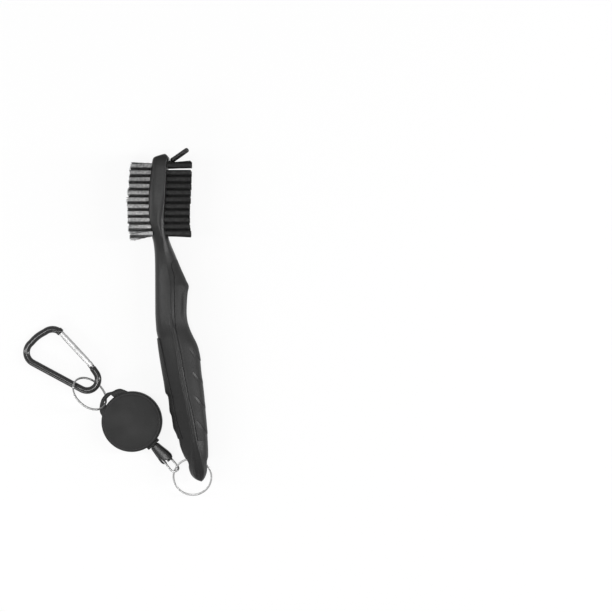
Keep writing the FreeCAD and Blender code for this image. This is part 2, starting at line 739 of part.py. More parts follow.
def backCase():
    """Cup with a central post, a cord mouth and a moulded bail."""
    outer, inner = "@case_diameter / 2", "@case_diameter / 2 - @case_wall"
    post, screw = "@post_diameter / 2", "@screw_diameter / 2"
    cup = turned("case_cup", [
        (screw, "0"),
        (f"{outer} - @case_round", "0", "@case_round * (1 - sqrt(0.5))"),
        (outer, "@case_round"),
        (outer, "@case_height"),
        (inner, "@case_height"),
        (inner, "@case_wall"),
        (post, "@case_wall"),
        (post, "@post_top"),
        (screw, "@post_top"),
    ])
    reelPiece(cup)
    mouth = make("Part::Box", "mouth_block", Length="@case_wall + @mouth_reach + @cut_margin",
                 Width="@mouth_width", Height="@mouth_height")
    turn = Rotation(Vector(0, 0, 1), size("exit_angle"))
    inset = value("@case_diameter / 2 - @case_wall - @cut_margin")
    low = size("exit_height") - size("mouth_height") / 2
    corner = turn.multVec(Vector(inset, -size("mouth_width") / 2, low))
    place(mouth, reelCentre + corner, turn)
    room = rod("mouth_room", "@case_diameter - 2 * @case_wall", "@case_height", reelCentre)
    mouthOuter = cut("mouth_outer", mouth, room)
    bail = turned("bail_ring", [
        ("@bail_radius - @bail_wall / 2", "@bail_height - @bail_thick / 2"),
        ("@bail_radius + @bail_wall / 2", "@bail_height - @bail_thick / 2"),
        ("@bail_radius + @bail_wall / 2", "@bail_height + @bail_thick / 2"),
        ("@bail_radius - @bail_wall / 2", "@bail_height + @bail_thick / 2"),
    ])
    reelPiece(bail)
    wedge = make("Part::Cylinder", "bail_wedge", Radius="@bail_radius * 1.5", Height="@case_height * 2",
                 Angle="@bail_spread")
    place(wedge, reelCentre, Rotation(Vector(0, 0, 1), size("bail_angle") - size("bail_spread") / 2))
    arc = common("bail_arc", bail, wedge)
    legs = []
    for name, side in (("left", 1), ("right", -1)):
        leg = make("Part::Box", f"bail_{name}_leg", Length="@bail_reach + (@bail_wall + @case_wall) / 2",
                   Width="@bail_wall", Height="@bail_thick")
        angle = size("bail_angle") + side * size("bail_spread") / 2
        legTurn = Rotation(Vector(0, 0, 1), angle)
        start = Vector(size("case_diameter") / 2 - size("case_wall") / 2, -size("bail_wall") / 2,
                       size("bail_height") - size("bail_thick") / 2)
        place(leg, reelCentre + legTurn.multVec(start), legTurn)
        legs.append(leg)
    whole = fuse("case_whole", cup, mouthOuter, arc, *legs)
    bore = rod("bush_seat", "@bush_diameter", "@case_wall + @mouth_reach + 3 * @cut_margin",
               exitLine + exitOut * inset, exitOut)
    return cut("case_with_mouth", whole, bore)


def reelPieces():
    node(backCase(), "reel_back_case")
    outer, inner = "@case_diameter / 2", "@case_diameter / 2 - @case_wall"
    lip = f"{inner} - @shell_fit"
    top = "@case_height + @bevel + @dome_rise"
    chord = f"(({outer} - @bevel)^2 + @dome_rise^2)"
    dome = f"{chord} / (2 * @dome_rise)"
    bow = f"{dome} - sqrt(({dome})^2 - {chord} / 4)"
    screw = "@screw_diameter / 2"
    cover = turned("cover_dome", [
        ("0", top),
        ("0", "@case_height + @bevel + @dome_rise - @case_wall"),
        (f"{lip} - @case_wall", "@case_height"),
        (f"{lip} - @case_wall", "@case_height - @lip_depth"),
        (lip, "@case_height - @lip_depth"),
        (lip, "@case_height"),
        (outer, "@case_height"),
        (f"{outer} - @bevel", "@case_height + @bevel", bow),
    ])
    node(reelPiece(cover), "reel_front_cover")
    node(reelPiece(turned("screw_body", [
        ("0", "@screw_depth"),
        (screw, "@screw_depth"),
        (screw, "@post_top"),
        ("@screw_head / 2", "@post_top"),
        ("@screw_head / 2", "@post_top + @screw_head_height"),
        ("0", "@post_top + @screw_head_height"),
    ])), "axle_screw")
    bore = "@post_diameter / 2 + @spool_fit"
    bottom = "@spool_bottom"
    drum = "@drum_diameter / 2"
    rim = "@spool_diameter / 2"
    low, high = f"{bottom} + @flange", f"{bottom} + @flange + @channel"
    spool = turned("spool_body", [
        (bore, bottom),
        (rim, bottom),
        (rim, low),
        (drum, low),
        (drum, high),
        (rim, high),
        (rim, f"{high} + @flange"),
        (f"{drum} - @drum_wall", f"{high} + @flange"),
        (f"{drum} - @drum_wall", low),
        ("@spool_boss / 2", low),
        ("@spool_boss / 2", f"{low} + @spool_boss_height"),
        (bore, f"{low} + @spool_boss_height"),
    ])
    node(reelPiece(spool), "cord_spool")
    winding = turned("winding_body", [
        (f"{drum} + @winding_gap", f"{low} + @winding_gap"),
        (windingRadius, f"{low} + @winding_gap"),
        (windingRadius, f"{high} - @winding_gap"),
        (f"{drum} + @winding_gap", f"{high} - @winding_gap"),
    ])
    node(reelPiece(winding), "wound_cord")
    node(mainspring(), "mainspring")
    bush = turned("bush_body", [
        ("@bush_bore / 2", "0"),
        ("@bush_diameter / 2", "0"),
        ("@bush_diameter / 2", "@case_wall + @mouth_reach"),
        ("@bush_flange / 2", "@case_wall + @mouth_reach"),
        ("@bush_flange / 2", "@case_wall + @mouth_reach + @bush_flange_thick"),
        ("@bush_bore / 2", "@case_wall + @mouth_reach + @bush_flange_thick"),
    ])
    seat = exitLine + exitOut * (size("case_diameter") / 2 - size("case_wall"))
    node(place(bush, seat, along(exitOut)), "mouth_bush")


def mainspring():
    """Flat clock spring, coiled inside the drum and hooked on the post."""
    strip, turns, tailLength = size("spring_strip"), size("spring_turns"), size("spring_tail")
    innerRadius = size("post_diameter") / 2
    outerRadius = value("@drum_diameter / 2 - @drum_wall - @spring_strip - @spring_gap")
    bottom = value("@spool_bottom + @flange + @spool_boss_height + @spring_lift")
    steps = int(turns) * pointsPerTurn
    inside, outside = [], []
    for step in range(steps + 1):
        share = step / steps
        radius = innerRadius + tailLength + (outerRadius - innerRadius - tailLength) * share
        inside.append(polar(radius, 360 * turns * share, bottom))
        outside.append(polar(radius + strip, 360 * turns * share, bottom))
    curves = []
    for points in (inside, outside):
        curve = Part.BSplineCurve()
        curve.interpolate(points)
        curves.append(curve.toShape())
    ends = [Part.makeLine(inside[0], outside[0]), Part.makeLine(inside[-1], outside[-1])]
    face = Part.Face(Part.Wire(Part.__sortEdges__(curves + ends)))
    coil = face.extrude(Vector(0, 0, size("spring_width")))
    tail = Part.makeBox(tailLength + strip, strip, size("spring_width"),
                        Vector(innerRadius + size("spring_start"), 0, bottom))
    return place(solid("spring_coil", coil.fuse(tail)), reelCentre)


# ------------------------------------------------------------------- carabiner

clipRingTurn = math.radians(size("clip_ring_turn"))
clipRingTilt = math.radians(size("clip_ring_tilt"))
clipRingLong = Vector(math.cos(clipRingTurn), math.sin(clipRingTurn), 0)
clipRingShort = (Vector(-math.sin(clipRingTurn), math.cos(clipRingTurn), 0) * math.cos(clipRingTilt)
                 - Vector(0, 0, math.sin(clipRingTilt)))
clipRingNormal = clipRingLong.cross(clipRingShort)
ringOut = value("@bail_radius + @ring_diameter / 2 - @clip_ring_in")
clipRingCentre = (reelCentre + polar(ringOut, size("bail_angle"), size("clip_ring_z"))
                  + polar(size("clip_ring_side"), size("bail_angle") + 90))
clipTurn = Rotation(Vector(0, 0, 1), size("clip_turn")).multiply(Rotation(Vector(0, 1, 0), -size("clip_lift")))
wideCentre = Vector(0, 0, 0)
noseCentre = Vector(size("clip_nose_x"), size("clip_nose_y"), 0)
narrowCentre = Vector(size("clip_span"), value("@clip_narrow - @clip_wide - @clip_drop"), 0)
narrowSpot = clipRingCentre + polar(value("@ring_diameter / 2 - @clip_hang"), size("clip_hang_angle"))
clipFoot = narrowSpot - Rotation(Vector(0, 0, 1), size("clip_turn")).multVec(narrowCentre)
clipFrame = Placement(Vector(clipFoot.x, clipFoot.y, value("@clip_rod / 2 + @clip_height")), clipTurn)
nosePoint = noseCentre + polar(size("clip_wide"), size("nose_angle"))
narrowEnd = narrowCentre + polar(size("clip_narrow"), size("hinge_angle"))
hingePoint = narrowEnd + polar(size("hinge_run"), size("hinge_angle") + 90)
gateOut = (nosePoint - hingePoint).normalize()
gateLength = (nosePoint - hingePoint).Length


def clipPath():
    """Centre line of the bent rod, from the nose round to the hinge."""
    wide, narrow = size("clip_wide"), size("clip_narrow")
    nose = size("nose_angle")
    slope = math.degrees(math.atan2(noseCentre.y, noseCentre.x)) + 90

    def bend(centre, radius, start, stop):
        middle = centre + polar(radius, (start + stop) / 2)
        return Part.Arc(centre + polar(radius, start), middle, centre + polar(radius, stop)).toShape()

    square = 270
    edges = [
        bend(noseCentre, wide, nose, slope),
        Part.makeLine(noseCentre + polar(wide, slope), wideCentre + polar(wide, slope)),
        bend(wideCentre, wide, slope, square),
        Part.makeLine(wideCentre + polar(wide, square), narrowCentre + polar(narrow, square)),
        bend(narrowCentre, narrow, square, 360 + size("hinge_angle")),
        Part.makeLine(narrowEnd, hingePoint - polar(size("tongue_length"), size("hinge_angle") + 90)),
    ]
    return Part.Wire(edges)


def carabinerPieces():
    radius = size("clip_rod") / 2
    path = clipPath()
    tangent = polar(1.0, size("nose_angle") + 90)
    circle = Part.Wire(Part.makeCircle(radius, nosePoint, tangent))
    bar = path.makePipeShell([circle], True, True)
    thick = size("tongue_thick")
    gap = size("gate_gap")
    hingeRun = polar(1.0, size("hinge_angle") + 90)
    margin = size("cut_margin")

    def tongue(base, direction, length, width):
        """A flat tongue that starts inside the rod and points along a direction."""
        turn = Rotation(Vector(1, 0, 0), direction)
        plate = Part.makeBox(length + margin, width, thick)
        corner = turn.multVec(Vector(-margin, -width / 2, -thick / 2))
        plate.Placement = Placement(base + corner, turn)
        return plate

    hingeTongue = tongue(hingePoint - hingeRun * size("tongue_length"), hingeRun,
                         size("tongue_length") + size("tongue_past"), size("tongue_width"))
    noseTongue = tongue(nosePoint, gateOut * -1, size("nose_tongue"), size("nose_width"))
    acrossRod = Vector(0, 0, 2 * radius)
    rivetHole = Part.makeCylinder(size("rivet_diameter") / 2, 4 * radius, hingePoint - acrossRod)
    body = bar.fuse([hingeTongue, noseTongue]).cut(rivetHole).removeSplitter()
    body = solid("carabiner_rod", body)
    body.Placement = clipFrame
    node(body, "carabiner_body")

    gateRadius = size("gate_rod") / 2
    low, high = -size("gate_back"), gateLength - gap
    tube = Part.makeCylinder(gateRadius, high - low, hingePoint + gateOut * low, gateOut)
    slotHalf = size("gate_slot") / 2
    gateTurn = Rotation(Vector(1, 0, 0), gateOut)

    def slot(start, end):
        """A slot across the gate between two distances from the rivet."""
        room = Part.makeBox(end - start, 4 * gateRadius, 2 * slotHalf)
        room.Placement = Placement(hingePoint + gateTurn.multVec(Vector(start, -2 * gateRadius, -slotHalf)), gateTurn)
        return room

    hingeSlot = slot(low - margin, size("hinge_slot"))
    noseSlot = slot(high - size("nose_slot"), high + margin)
    springHole = Part.makeCylinder(size("gate_bore") / 2, size("gate_bore_depth"),
                                   hingePoint + gateOut * size("bore_start"), gateOut)
    pinHole = Part.makeCylinder(size("rivet_diameter") / 2 + size("rivet_fit"), 4 * radius, hingePoint - acrossRod)
    gate = solid("gate_tube", tube.cut([hingeSlot, noseSlot, springHole, pinHole]).removeSplitter())
    gate.Placement = clipFrame
    node(gate, "carabiner_gate")

    rivetHalf = gateRadius + size("rivet_proud")
    rivet = rod("rivet_rod", "@rivet_diameter", str(2 * rivetHalf))
    rivet.Placement = clipFrame.multiply(Placement(hingePoint - Vector(0, 0, rivetHalf), Rotation()))
    node(rivet, "gate_rivet")

    plungerStart = value("@bore_start + @plunger_fit")
    plunger = rod("plunger_rod", "@gate_bore - 2 * @plunger_fit", "@plunger_length")
    plunger.Placement = clipFrame.multiply(Placement(hingePoint + gateOut * plungerStart, along(gateOut)))
    node(plunger, "gate_plunger")
    coilRadius = "(@gate_bore - @gate_wire) / 2 - @coil_fit"
    coil = make("Part::Helix", "gate_coil", Pitch="@gate_pitch", Radius=coilRadius,
                Height="@gate_bore_depth - @plunger_length - 5 * @coil_fit - @gate_wire")
    section = make("Part::Circle", "gate_coil_section", Radius="@gate_wire / 2")
    section.Placement = Placement(Vector(value(coilRadius), 0, 0),
                                  Rotation(Vector(1, 0, 0), 90))
    doc.recompute()
    spring = doc.addObject("Part::Sweep", "gate_spring_sweep")
    spring.Sections = [section]
    spring.Spine = (coil, ["Edge1"])
    spring.Solid = True
    spring.Frenet = True
    doc.recompute()
    springStart = plungerStart + value("@plunger_length + @coil_fit + @gate_wire / 2")
    spring.Placement = clipFrame.multiply(Placement(hingePoint + gateOut * springStart, along(gateOut)))
    node(spring, "gate_spring")


brushPieces()
tuftPieces("wire")
tuftPieces("nylon")
spikePieces()
node(splitRing("handle_split_ring", ringCentre, ringNormal), "handle_ring")
node(linkPiece(), "oval_link")
connectorPieces()
reelPieces()
node(splitRing("clip_split_ring", clipRingCentre, clipRingNormal), "reel_ring")
carabinerPieces()
doc.recompute()

# the whole is centred on the origin and stands on the plane Z = 0
whole = FreeCAD.BoundBox()
for item in nodes:
    whole.add(item.Shape.optimalBoundingBox(False))
shift = Vector(-whole.Center.x, -whole.Center.y, -whole.ZMin)
for item in nodes:
    item.Placement = Placement(shift, Rotation()).multiply(item.Placement)
doc.recompute()

for item in doc.Objects:
    if "Invalid" in item.State or "Error" in item.State:
        raise RuntimeError(f"{item.Name} did not build: {item.State}")
for item in nodes:
    if item.Shape.isNull() or not item.Shape.isValid() or not item.Shape.Solids:
        raise RuntimeError(f"{item.Label} has no valid shape")

os.makedirs("parts", exist_ok=True)
for item in nodes:
    item.Shape.exportStep(f"parts/{item.Label}.step")
    print(f"{item.Label}: {len(item.Shape.Solids)} solid(s), {item.Shape.Volume:.1f} mm3")
print("overall", round(whole.XLength, 2), round(whole.YLength, 2), round(whole.ZLength, 2))
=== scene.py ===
import json
import math
import random

import bmesh
import bpy
import numpy as np
from mathutils import Matrix, Vector


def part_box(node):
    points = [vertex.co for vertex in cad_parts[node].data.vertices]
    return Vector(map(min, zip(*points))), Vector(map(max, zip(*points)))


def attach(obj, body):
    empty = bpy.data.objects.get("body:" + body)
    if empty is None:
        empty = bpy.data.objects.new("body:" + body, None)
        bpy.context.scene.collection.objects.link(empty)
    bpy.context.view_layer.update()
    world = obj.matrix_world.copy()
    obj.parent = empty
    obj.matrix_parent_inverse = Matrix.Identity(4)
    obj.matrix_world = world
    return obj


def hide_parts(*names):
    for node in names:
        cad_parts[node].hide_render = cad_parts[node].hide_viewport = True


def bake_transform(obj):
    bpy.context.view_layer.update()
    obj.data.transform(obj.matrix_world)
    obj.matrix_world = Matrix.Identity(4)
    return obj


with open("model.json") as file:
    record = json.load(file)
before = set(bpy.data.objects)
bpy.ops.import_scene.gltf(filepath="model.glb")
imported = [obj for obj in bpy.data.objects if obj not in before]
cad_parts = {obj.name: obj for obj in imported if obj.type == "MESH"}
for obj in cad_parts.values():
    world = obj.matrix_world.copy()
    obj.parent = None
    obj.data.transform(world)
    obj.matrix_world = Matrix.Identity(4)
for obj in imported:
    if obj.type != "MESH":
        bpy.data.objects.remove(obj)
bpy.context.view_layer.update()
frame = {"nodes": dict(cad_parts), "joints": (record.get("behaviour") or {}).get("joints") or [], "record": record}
record = frame["record"]
nodes = frame["nodes"]
joints = {joint["name"]: joint for joint in frame["joints"]}
mm = 0.001
turn = 2 * math.pi
# height of the brush's middle plane above the floor
midHeight = 11.045 * mm
print("frame loaded:", len(nodes), "nodes")


# camera, floor and light
studio = dict(
    lookAt=(0.1097, 0.0094, 0.011), distance=1.5, sensor=36.0, frameWidth=0.355,
    floorHalf=4.0, floorGrey=0.93, floorGlow=0.88, worldLevel=0.24,
    lamps=dict(
        left=dict(place=(-0.80, 0.05, 0.52), size=(0.10, 1.2), watts=4.0),
        right=dict(place=(1.00, 0.05, 0.46), size=(0.10, 1.2), watts=9.0),
        low=dict(place=(-0.45, -0.75, 0.42), size=(0.6, 0.16), watts=3.0),
        top=dict(place=(-0.07, -0.10, 1.5), size=(0.42, 0.22), watts=5.6),
    ),
)


def addCamera():
    data = bpy.data.cameras.new("camera")
    data.sensor_width = studio["sensor"]
    data.lens = studio["sensor"] * studio["distance"] / studio["frameWidth"]
    data.clip_start, data.clip_end = 0.05, 20
    camera = bpy.data.objects.new("camera", data)
    x, y, z = studio["lookAt"]
    camera.location = (x, y, z + studio["distance"])
    bpy.context.scene.collection.objects.link(camera)
    bpy.context.scene.camera = camera


def addLamp(name, place, size, watts):
    data = bpy.data.lights.new(name, "AREA")
    data.shape, data.size, data.size_y, data.energy = "RECTANGLE", size[0], size[1], watts
    lamp = bpy.data.objects.new(name, data)
    lamp.location = place
    lamp.rotation_mode = "QUATERNION"
    lamp.rotation_quaternion = Vector(place).to_track_quat("Z", "Y")
    bpy.context.scene.collection.objects.link(lamp)


bpy.context.scene.view_settings.view_transform = "Standard"
addCamera()
for lampName, lamp in studio["lamps"].items():
    addLamp(lampName, **lamp)


# node building
class Signal:
    # a node output that arithmetic can be written on
    def __init__(self, graph, socket):
        self.graph, self.socket = graph, socket

    def maths(self, operation, *others):
        return self.graph.node("ShaderNodeMath", {"operation": operation}, dict(enumerate((self, *others))))

    def __add__(self, other):
        return self.maths("ADD", other)

    def __mul__(self, other):
        return self.maths("MULTIPLY", other)

    def __sub__(self, other):
        return self.maths("SUBTRACT", other)

    def __truediv__(self, other):
        return self.maths("DIVIDE", other)

    def clamp(self):
        return self.graph.node("ShaderNodeClamp", {}, {0: self, 1: 0.0, 2: 1.0})

    def range(self, low, high, start=0.0, stop=1.0):
        return self.graph.node("ShaderNodeMapRange", {"clamp": True},
                               {0: self, 1: low, 2: high, 3: start, 4: stop})


class Graph:
    # a node tree that ends in one output node
    def __init__(self, tree, kind):
        self.tree = tree
        self.tree.nodes.clear()
        self.out = self.tree.nodes.new(kind)

    def node(self, kind, settings, inputs, output=0):
        made = self.tree.nodes.new(kind)
        for key, setting in settings.items():
            setattr(made, key, setting)
        for key, source in inputs.items():
            target = made.inputs[key]
            if isinstance(source, Signal):
                self.tree.links.new(source.socket, target)
            else:
                target.default_value = source
        return Signal(self, made.outputs[output])

    def scaled(self, vector, factor):
        return self.node("ShaderNodeVectorMath", {"operation": "SCALE"},
                         {0: vector, "Scale": factor}, "Vector")

    def end(self, signal):
        self.tree.links.new(signal.socket, self.out.inputs[0])


# rows of tufts along the head, millimetres
tuftRows = dict(count=11, first=90.4, pitch=3.9)


class Paint(Graph):
    # one material and the nodes in it
    def __init__(self, name):
        self.material = bpy.data.materials.new(name)
        self.material.use_nodes = True
        super().__init__(self.material.node_tree, "ShaderNodeOutputMaterial")

    def spot(self):
        return self.node("ShaderNodeTexCoord", {}, {}, "Object")

    def noise(self, scale, detail):
        return self.node("ShaderNodeTexNoise", {}, {"Vector": self.spot(), "Scale": scale, "Detail": detail})

    def blend(self, factor, first, second):
        return self.node("ShaderNodeMix", {"data_type": "RGBA"}, {0: factor, 6: first, 7: second}, 2)

    def paintedRowShade(self, colour, low):
        # painted shade: the colour is darkened in the gaps between the rows of tufts, where the lower tufts lie in
        # shadow
        along = self.node("ShaderNodeSeparateXYZ", {}, {0: self.spot()}, 1)
        wave = ((along - tuftRows["first"] * mm) * (turn / (tuftRows["pitch"] * mm))).maths("COSINE")
        share = wave.range(-0.45, 0.35, low, 1.0)
        return self.scaled(colour, share)

    def bump(self, height, distance):
        return self.node("ShaderNodeBump", {}, {"Height": height, "Distance": distance, "Strength": 0.6})

    def finish(self, inputs):
        self.end(self.node("ShaderNodeBsdfPrincipled", {}, inputs))
        return self.material


def grey(level):
    return (level, level, level, 1)


# each slot's dark and light colour, roughness, metal, grain, bump, shine and the painted shade between the tuft
# rows
finishes = dict(
    handle_plastic=dict(low=grey(0.006), high=grey(0.011), rough=(0.32, 0.40), grain=900, bump=0.00003,
                        shine=0.22),
    grip_rubber=dict(low=grey(0.007), high=grey(0.012), rough=(0.42, 0.54), grain=1400, bump=0.00005,
                     shine=0.2),
    # the bristles' last entry is painted shade: how dark their colour is painted between the tuft rows
    bristle_wire=dict(low=grey(0.17), high=grey(0.66), rough=(0.36, 0.55), metal=0.7, grain=700, paintedGapShade=0.12),
    bristle_nylon=dict(low=grey(0.013), high=grey(0.05), rough=(0.32, 0.45), grain=500, shine=0.2, paintedGapShade=0.25),
    anchor_wire=dict(low=grey(0.45), high=grey(0.60), rough=(0.3, 0.4), metal=1.0, grain=900),
    spike_steel=dict(low=grey(0.03), high=grey(0.07), rough=(0.22, 0.34), metal=1.0, grain=1200),
    cap_rubber=dict(low=grey(0.006), high=grey(0.012), rough=(0.22, 0.32), grain=800, bump=0.00001,
                    shine=0.4),
    ring_steel=dict(low=grey(0.24), high=grey(0.48), rough=(0.28, 0.38), metal=1.0, grain=600),
    connector_plastic=dict(low=grey(0.005), high=grey(0.010), rough=(0.24, 0.34), grain=900, bump=0.00001,
                           shine=0.3),
    reel_plastic=dict(low=grey(0.010), high=grey(0.017), rough=(0.42, 0.54), grain=2600, bump=0.00005,
                      shine=0.2),
    spool_plastic=dict(low=grey(0.60), high=grey(0.72), rough=(0.35, 0.45), grain=500),
    cord=dict(low=grey(0.010), high=grey(0.035), rough=(0.6, 0.8), grain=3000, bump=0.00008, shine=0.2),
    brass_trim=dict(low=(0.55, 0.38, 0.14, 1), high=(0.66, 0.48, 0.20, 1), rough=(0.25, 0.35), metal=1.0,
                    grain=900),
    screw_steel=dict(low=grey(0.50), high=grey(0.62), rough=(0.3, 0.4), metal=1.0, grain=900),
    spring_steel=dict(low=grey(0.24), high=grey(0.36), rough=(0.28, 0.4), metal=1.0, grain=900),
    clip_black=dict(low=grey(0.002), high=grey(0.004), rough=(0.16, 0.22), grain=400, shine=0.45),
    gate_silver=dict(low=grey(0.34), high=grey(0.58), rough=(0.34, 0.44), metal=1.0, grain=500),
)


def slotPaint(name, low, high, rough, grain, bump=0.0, metal=0.0, shine=0.5, paintedGapShade=0.0):
    paint = Paint(name)
    fine = paint.noise(grain, 2.0)
    broad = paint.noise(grain / 30, 3.0)
    mix = (fine * 0.5 + broad * 0.5).range(0.32, 0.68)
    colour = paint.blend(mix, low, high)
    # bristle colours are darkened between the tuft rows as painted shade
    inputs = {
        "Base Color": paint.paintedRowShade(colour, paintedGapShade) if paintedGapShade else colour,
        "Roughness": mix.range(0, 1, rough[1], rough[0]),
        "Metallic": metal,
        "Specular IOR Level": shine,
    }
    if bump:
        inputs["Normal"] = paint.bump(fine, bump)
    return paint.finish(inputs)


paints = {name: slotPaint(name, **finish) for name, finish in finishes.items()}
slotOf = {part["node"]: part["material_slot"] for part in record["subparts"]}
for nodeName, item in nodes.items():
    item.data.materials.clear()
    item.data.materials.append(paints[slotOf[nodeName]])
print("materials made:", len(paints))


def whiteToEye(graph):
    # 1 for the rays that should meet a white background
    path = graph.tree.nodes.new("ShaderNodeLightPath")
    kinds = ("Is Camera Ray", "Is Glossy Ray", "Is Transmission Ray")
    seen = [Signal(graph, path.outputs[kind]) for kind in kinds]
    return (seen[0] + seen[1] + seen[2]).clamp()


def addStage():
    half = studio["floorHalf"]
    data = bpy.data.meshes.new("floor")
    corners = [(-half, -half, 0), (half, -half, 0), (half, half, 0), (-half, half, 0)]
    data.from_pydata(corners, [], [(0, 1, 2, 3)])
    floor = bpy.data.objects.new("floor", data)
    bpy.context.scene.collection.objects.link(floor)
    paint = Paint("floor")
    base = paint.node("ShaderNodeBsdfDiffuse", {}, {"Color": grey(studio["floorGrey"])})
    glow = paint.node("ShaderNodeEmission", {}, {"Color": grey(1.0), "Strength": 1.0})
    share = whiteToEye(paint) * studio["floorGlow"]
    paint.end(paint.node("ShaderNodeMixShader", {}, {0: share, 1: base, 2: glow}))
    data.materials.append(paint.material)

    world = bpy.data.worlds.new("world")
    world.use_nodes = True
    sky = Graph(world.node_tree, "ShaderNodeOutputWorld")
    level = whiteToEye(sky).range(0, 1, studio["worldLevel"], 1.0)
    sky.end(sky.node("ShaderNodeBackground", {}, {"Color": grey(1.0), "Strength": level}))
    bpy.context.scene.world = world


addStage()


# mesh helpers
def addMesh(name, points, faces, slot, body=None):
    data = bpy.data.meshes.new(name)
    data.from_pydata([tuple(point) for point in points], [], faces)
    shape = bmesh.new()
    shape.from_mesh(data)
    bmesh.ops.remove_doubles(shape, verts=shape.verts, dist=1e-7)
    bmesh.ops.recalc_face_normals(shape, faces=shape.faces)
    shape.to_mesh(data)
    shape.free()
    for face in data.polygons:
        face.use_smooth = True
    data.materials.append(paints[slot])
    item = bpy.data.objects.new(name, data)
    bpy.context.scene.collection.objects.link(item)
    if body:
        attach(item, body)
    return item


def tubeMesh(rings):
    # a closed skin over rings of points, with flat ends
    count = len(rings[0])
    points = [point for ring in rings for point in ring]
    faces = []
    for row in range(len(rings) - 1):
        for column in range(count):
            here, right = row * count + column, row * count + (column + 1) % count
            faces.append((here, right, right + count, here + count))
    faces.append(tuple(range(count)))
    faces.append(tuple((len(rings) - 1) * count + index for index in range(count)))
    return points, faces


def lathe(profile, segments, centre, axis=Vector((0, 0, 1))):
    # profile of (radius, height) turned about an axis; a radius of 0 closes an end
    spin = axis.to_track_quat("Z", "Y")
    points, faces, rings = [], [], []
    for radius, height in profile:
        if radius < 1e-7:
            rings.append([len(points)])
            points.append(centre + spin @ Vector((0, 0, height)))
            continue
        rings.append(list(range(len(points), len(points) + segments)))
        for step in range(segments):
            angle = turn * step / segments
            x, y = radius * math.cos(angle), radius * math.sin(angle)
            points.append(centre + spin @ Vector((x, y, height)))
    pairs = list(zip(rings, rings[1:]))
    if len(rings[0]) > 1 and len(rings[-1]) > 1:
        pairs.append((rings[-1], rings[0]))
    for lower, upper in pairs:
        for step in range(segments):
            after = (step + 1) % segments
            corners = [lower[step % len(lower)], lower[after % len(lower)],
                       upper[after % len(upper)], upper[step % len(upper)]]
            faces.append(tuple(dict.fromkeys(corners)))
    return points, faces


def smooth(share):
    share = min(max(share, 0.0), 1.0)
    return share * share * (3 - 2 * share)


def table(rows):
    # smooth curve through (place, value) rows, monotone between them
    rows = sorted(rows)
    places, values = [row[0] for row in rows], [row[1] for row in rows]
    slopes = [(values[i + 1] - values[i]) / (places[i + 1] - places[i]) for i in range(len(rows) - 1)]
    tangents = [slopes[0]]
    for before, after in zip(slopes, slopes[1:]):
        tangents.append(0.0 if before * after <= 0 else 2 * before * after / (before + after))
    tangents.append(slopes[-1])

    def read(place):
        if place <= places[0]:
            return values[0]
        if place >= places[-1]:
            return values[-1]
        index = max(i for i in range(len(places) - 1) if places[i] <= place)
        span = places[index + 1] - places[index]
        t = (place - places[index]) / span
        return ((2 * t ** 3 - 3 * t ** 2 + 1) * values[index]
                + (t ** 3 - 2 * t ** 2 + t) * span * tangents[index]
                + (3 * t ** 2 - 2 * t ** 3) * values[index + 1]
                + (t ** 3 - t ** 2) * span * tangents[index + 1])

    return read


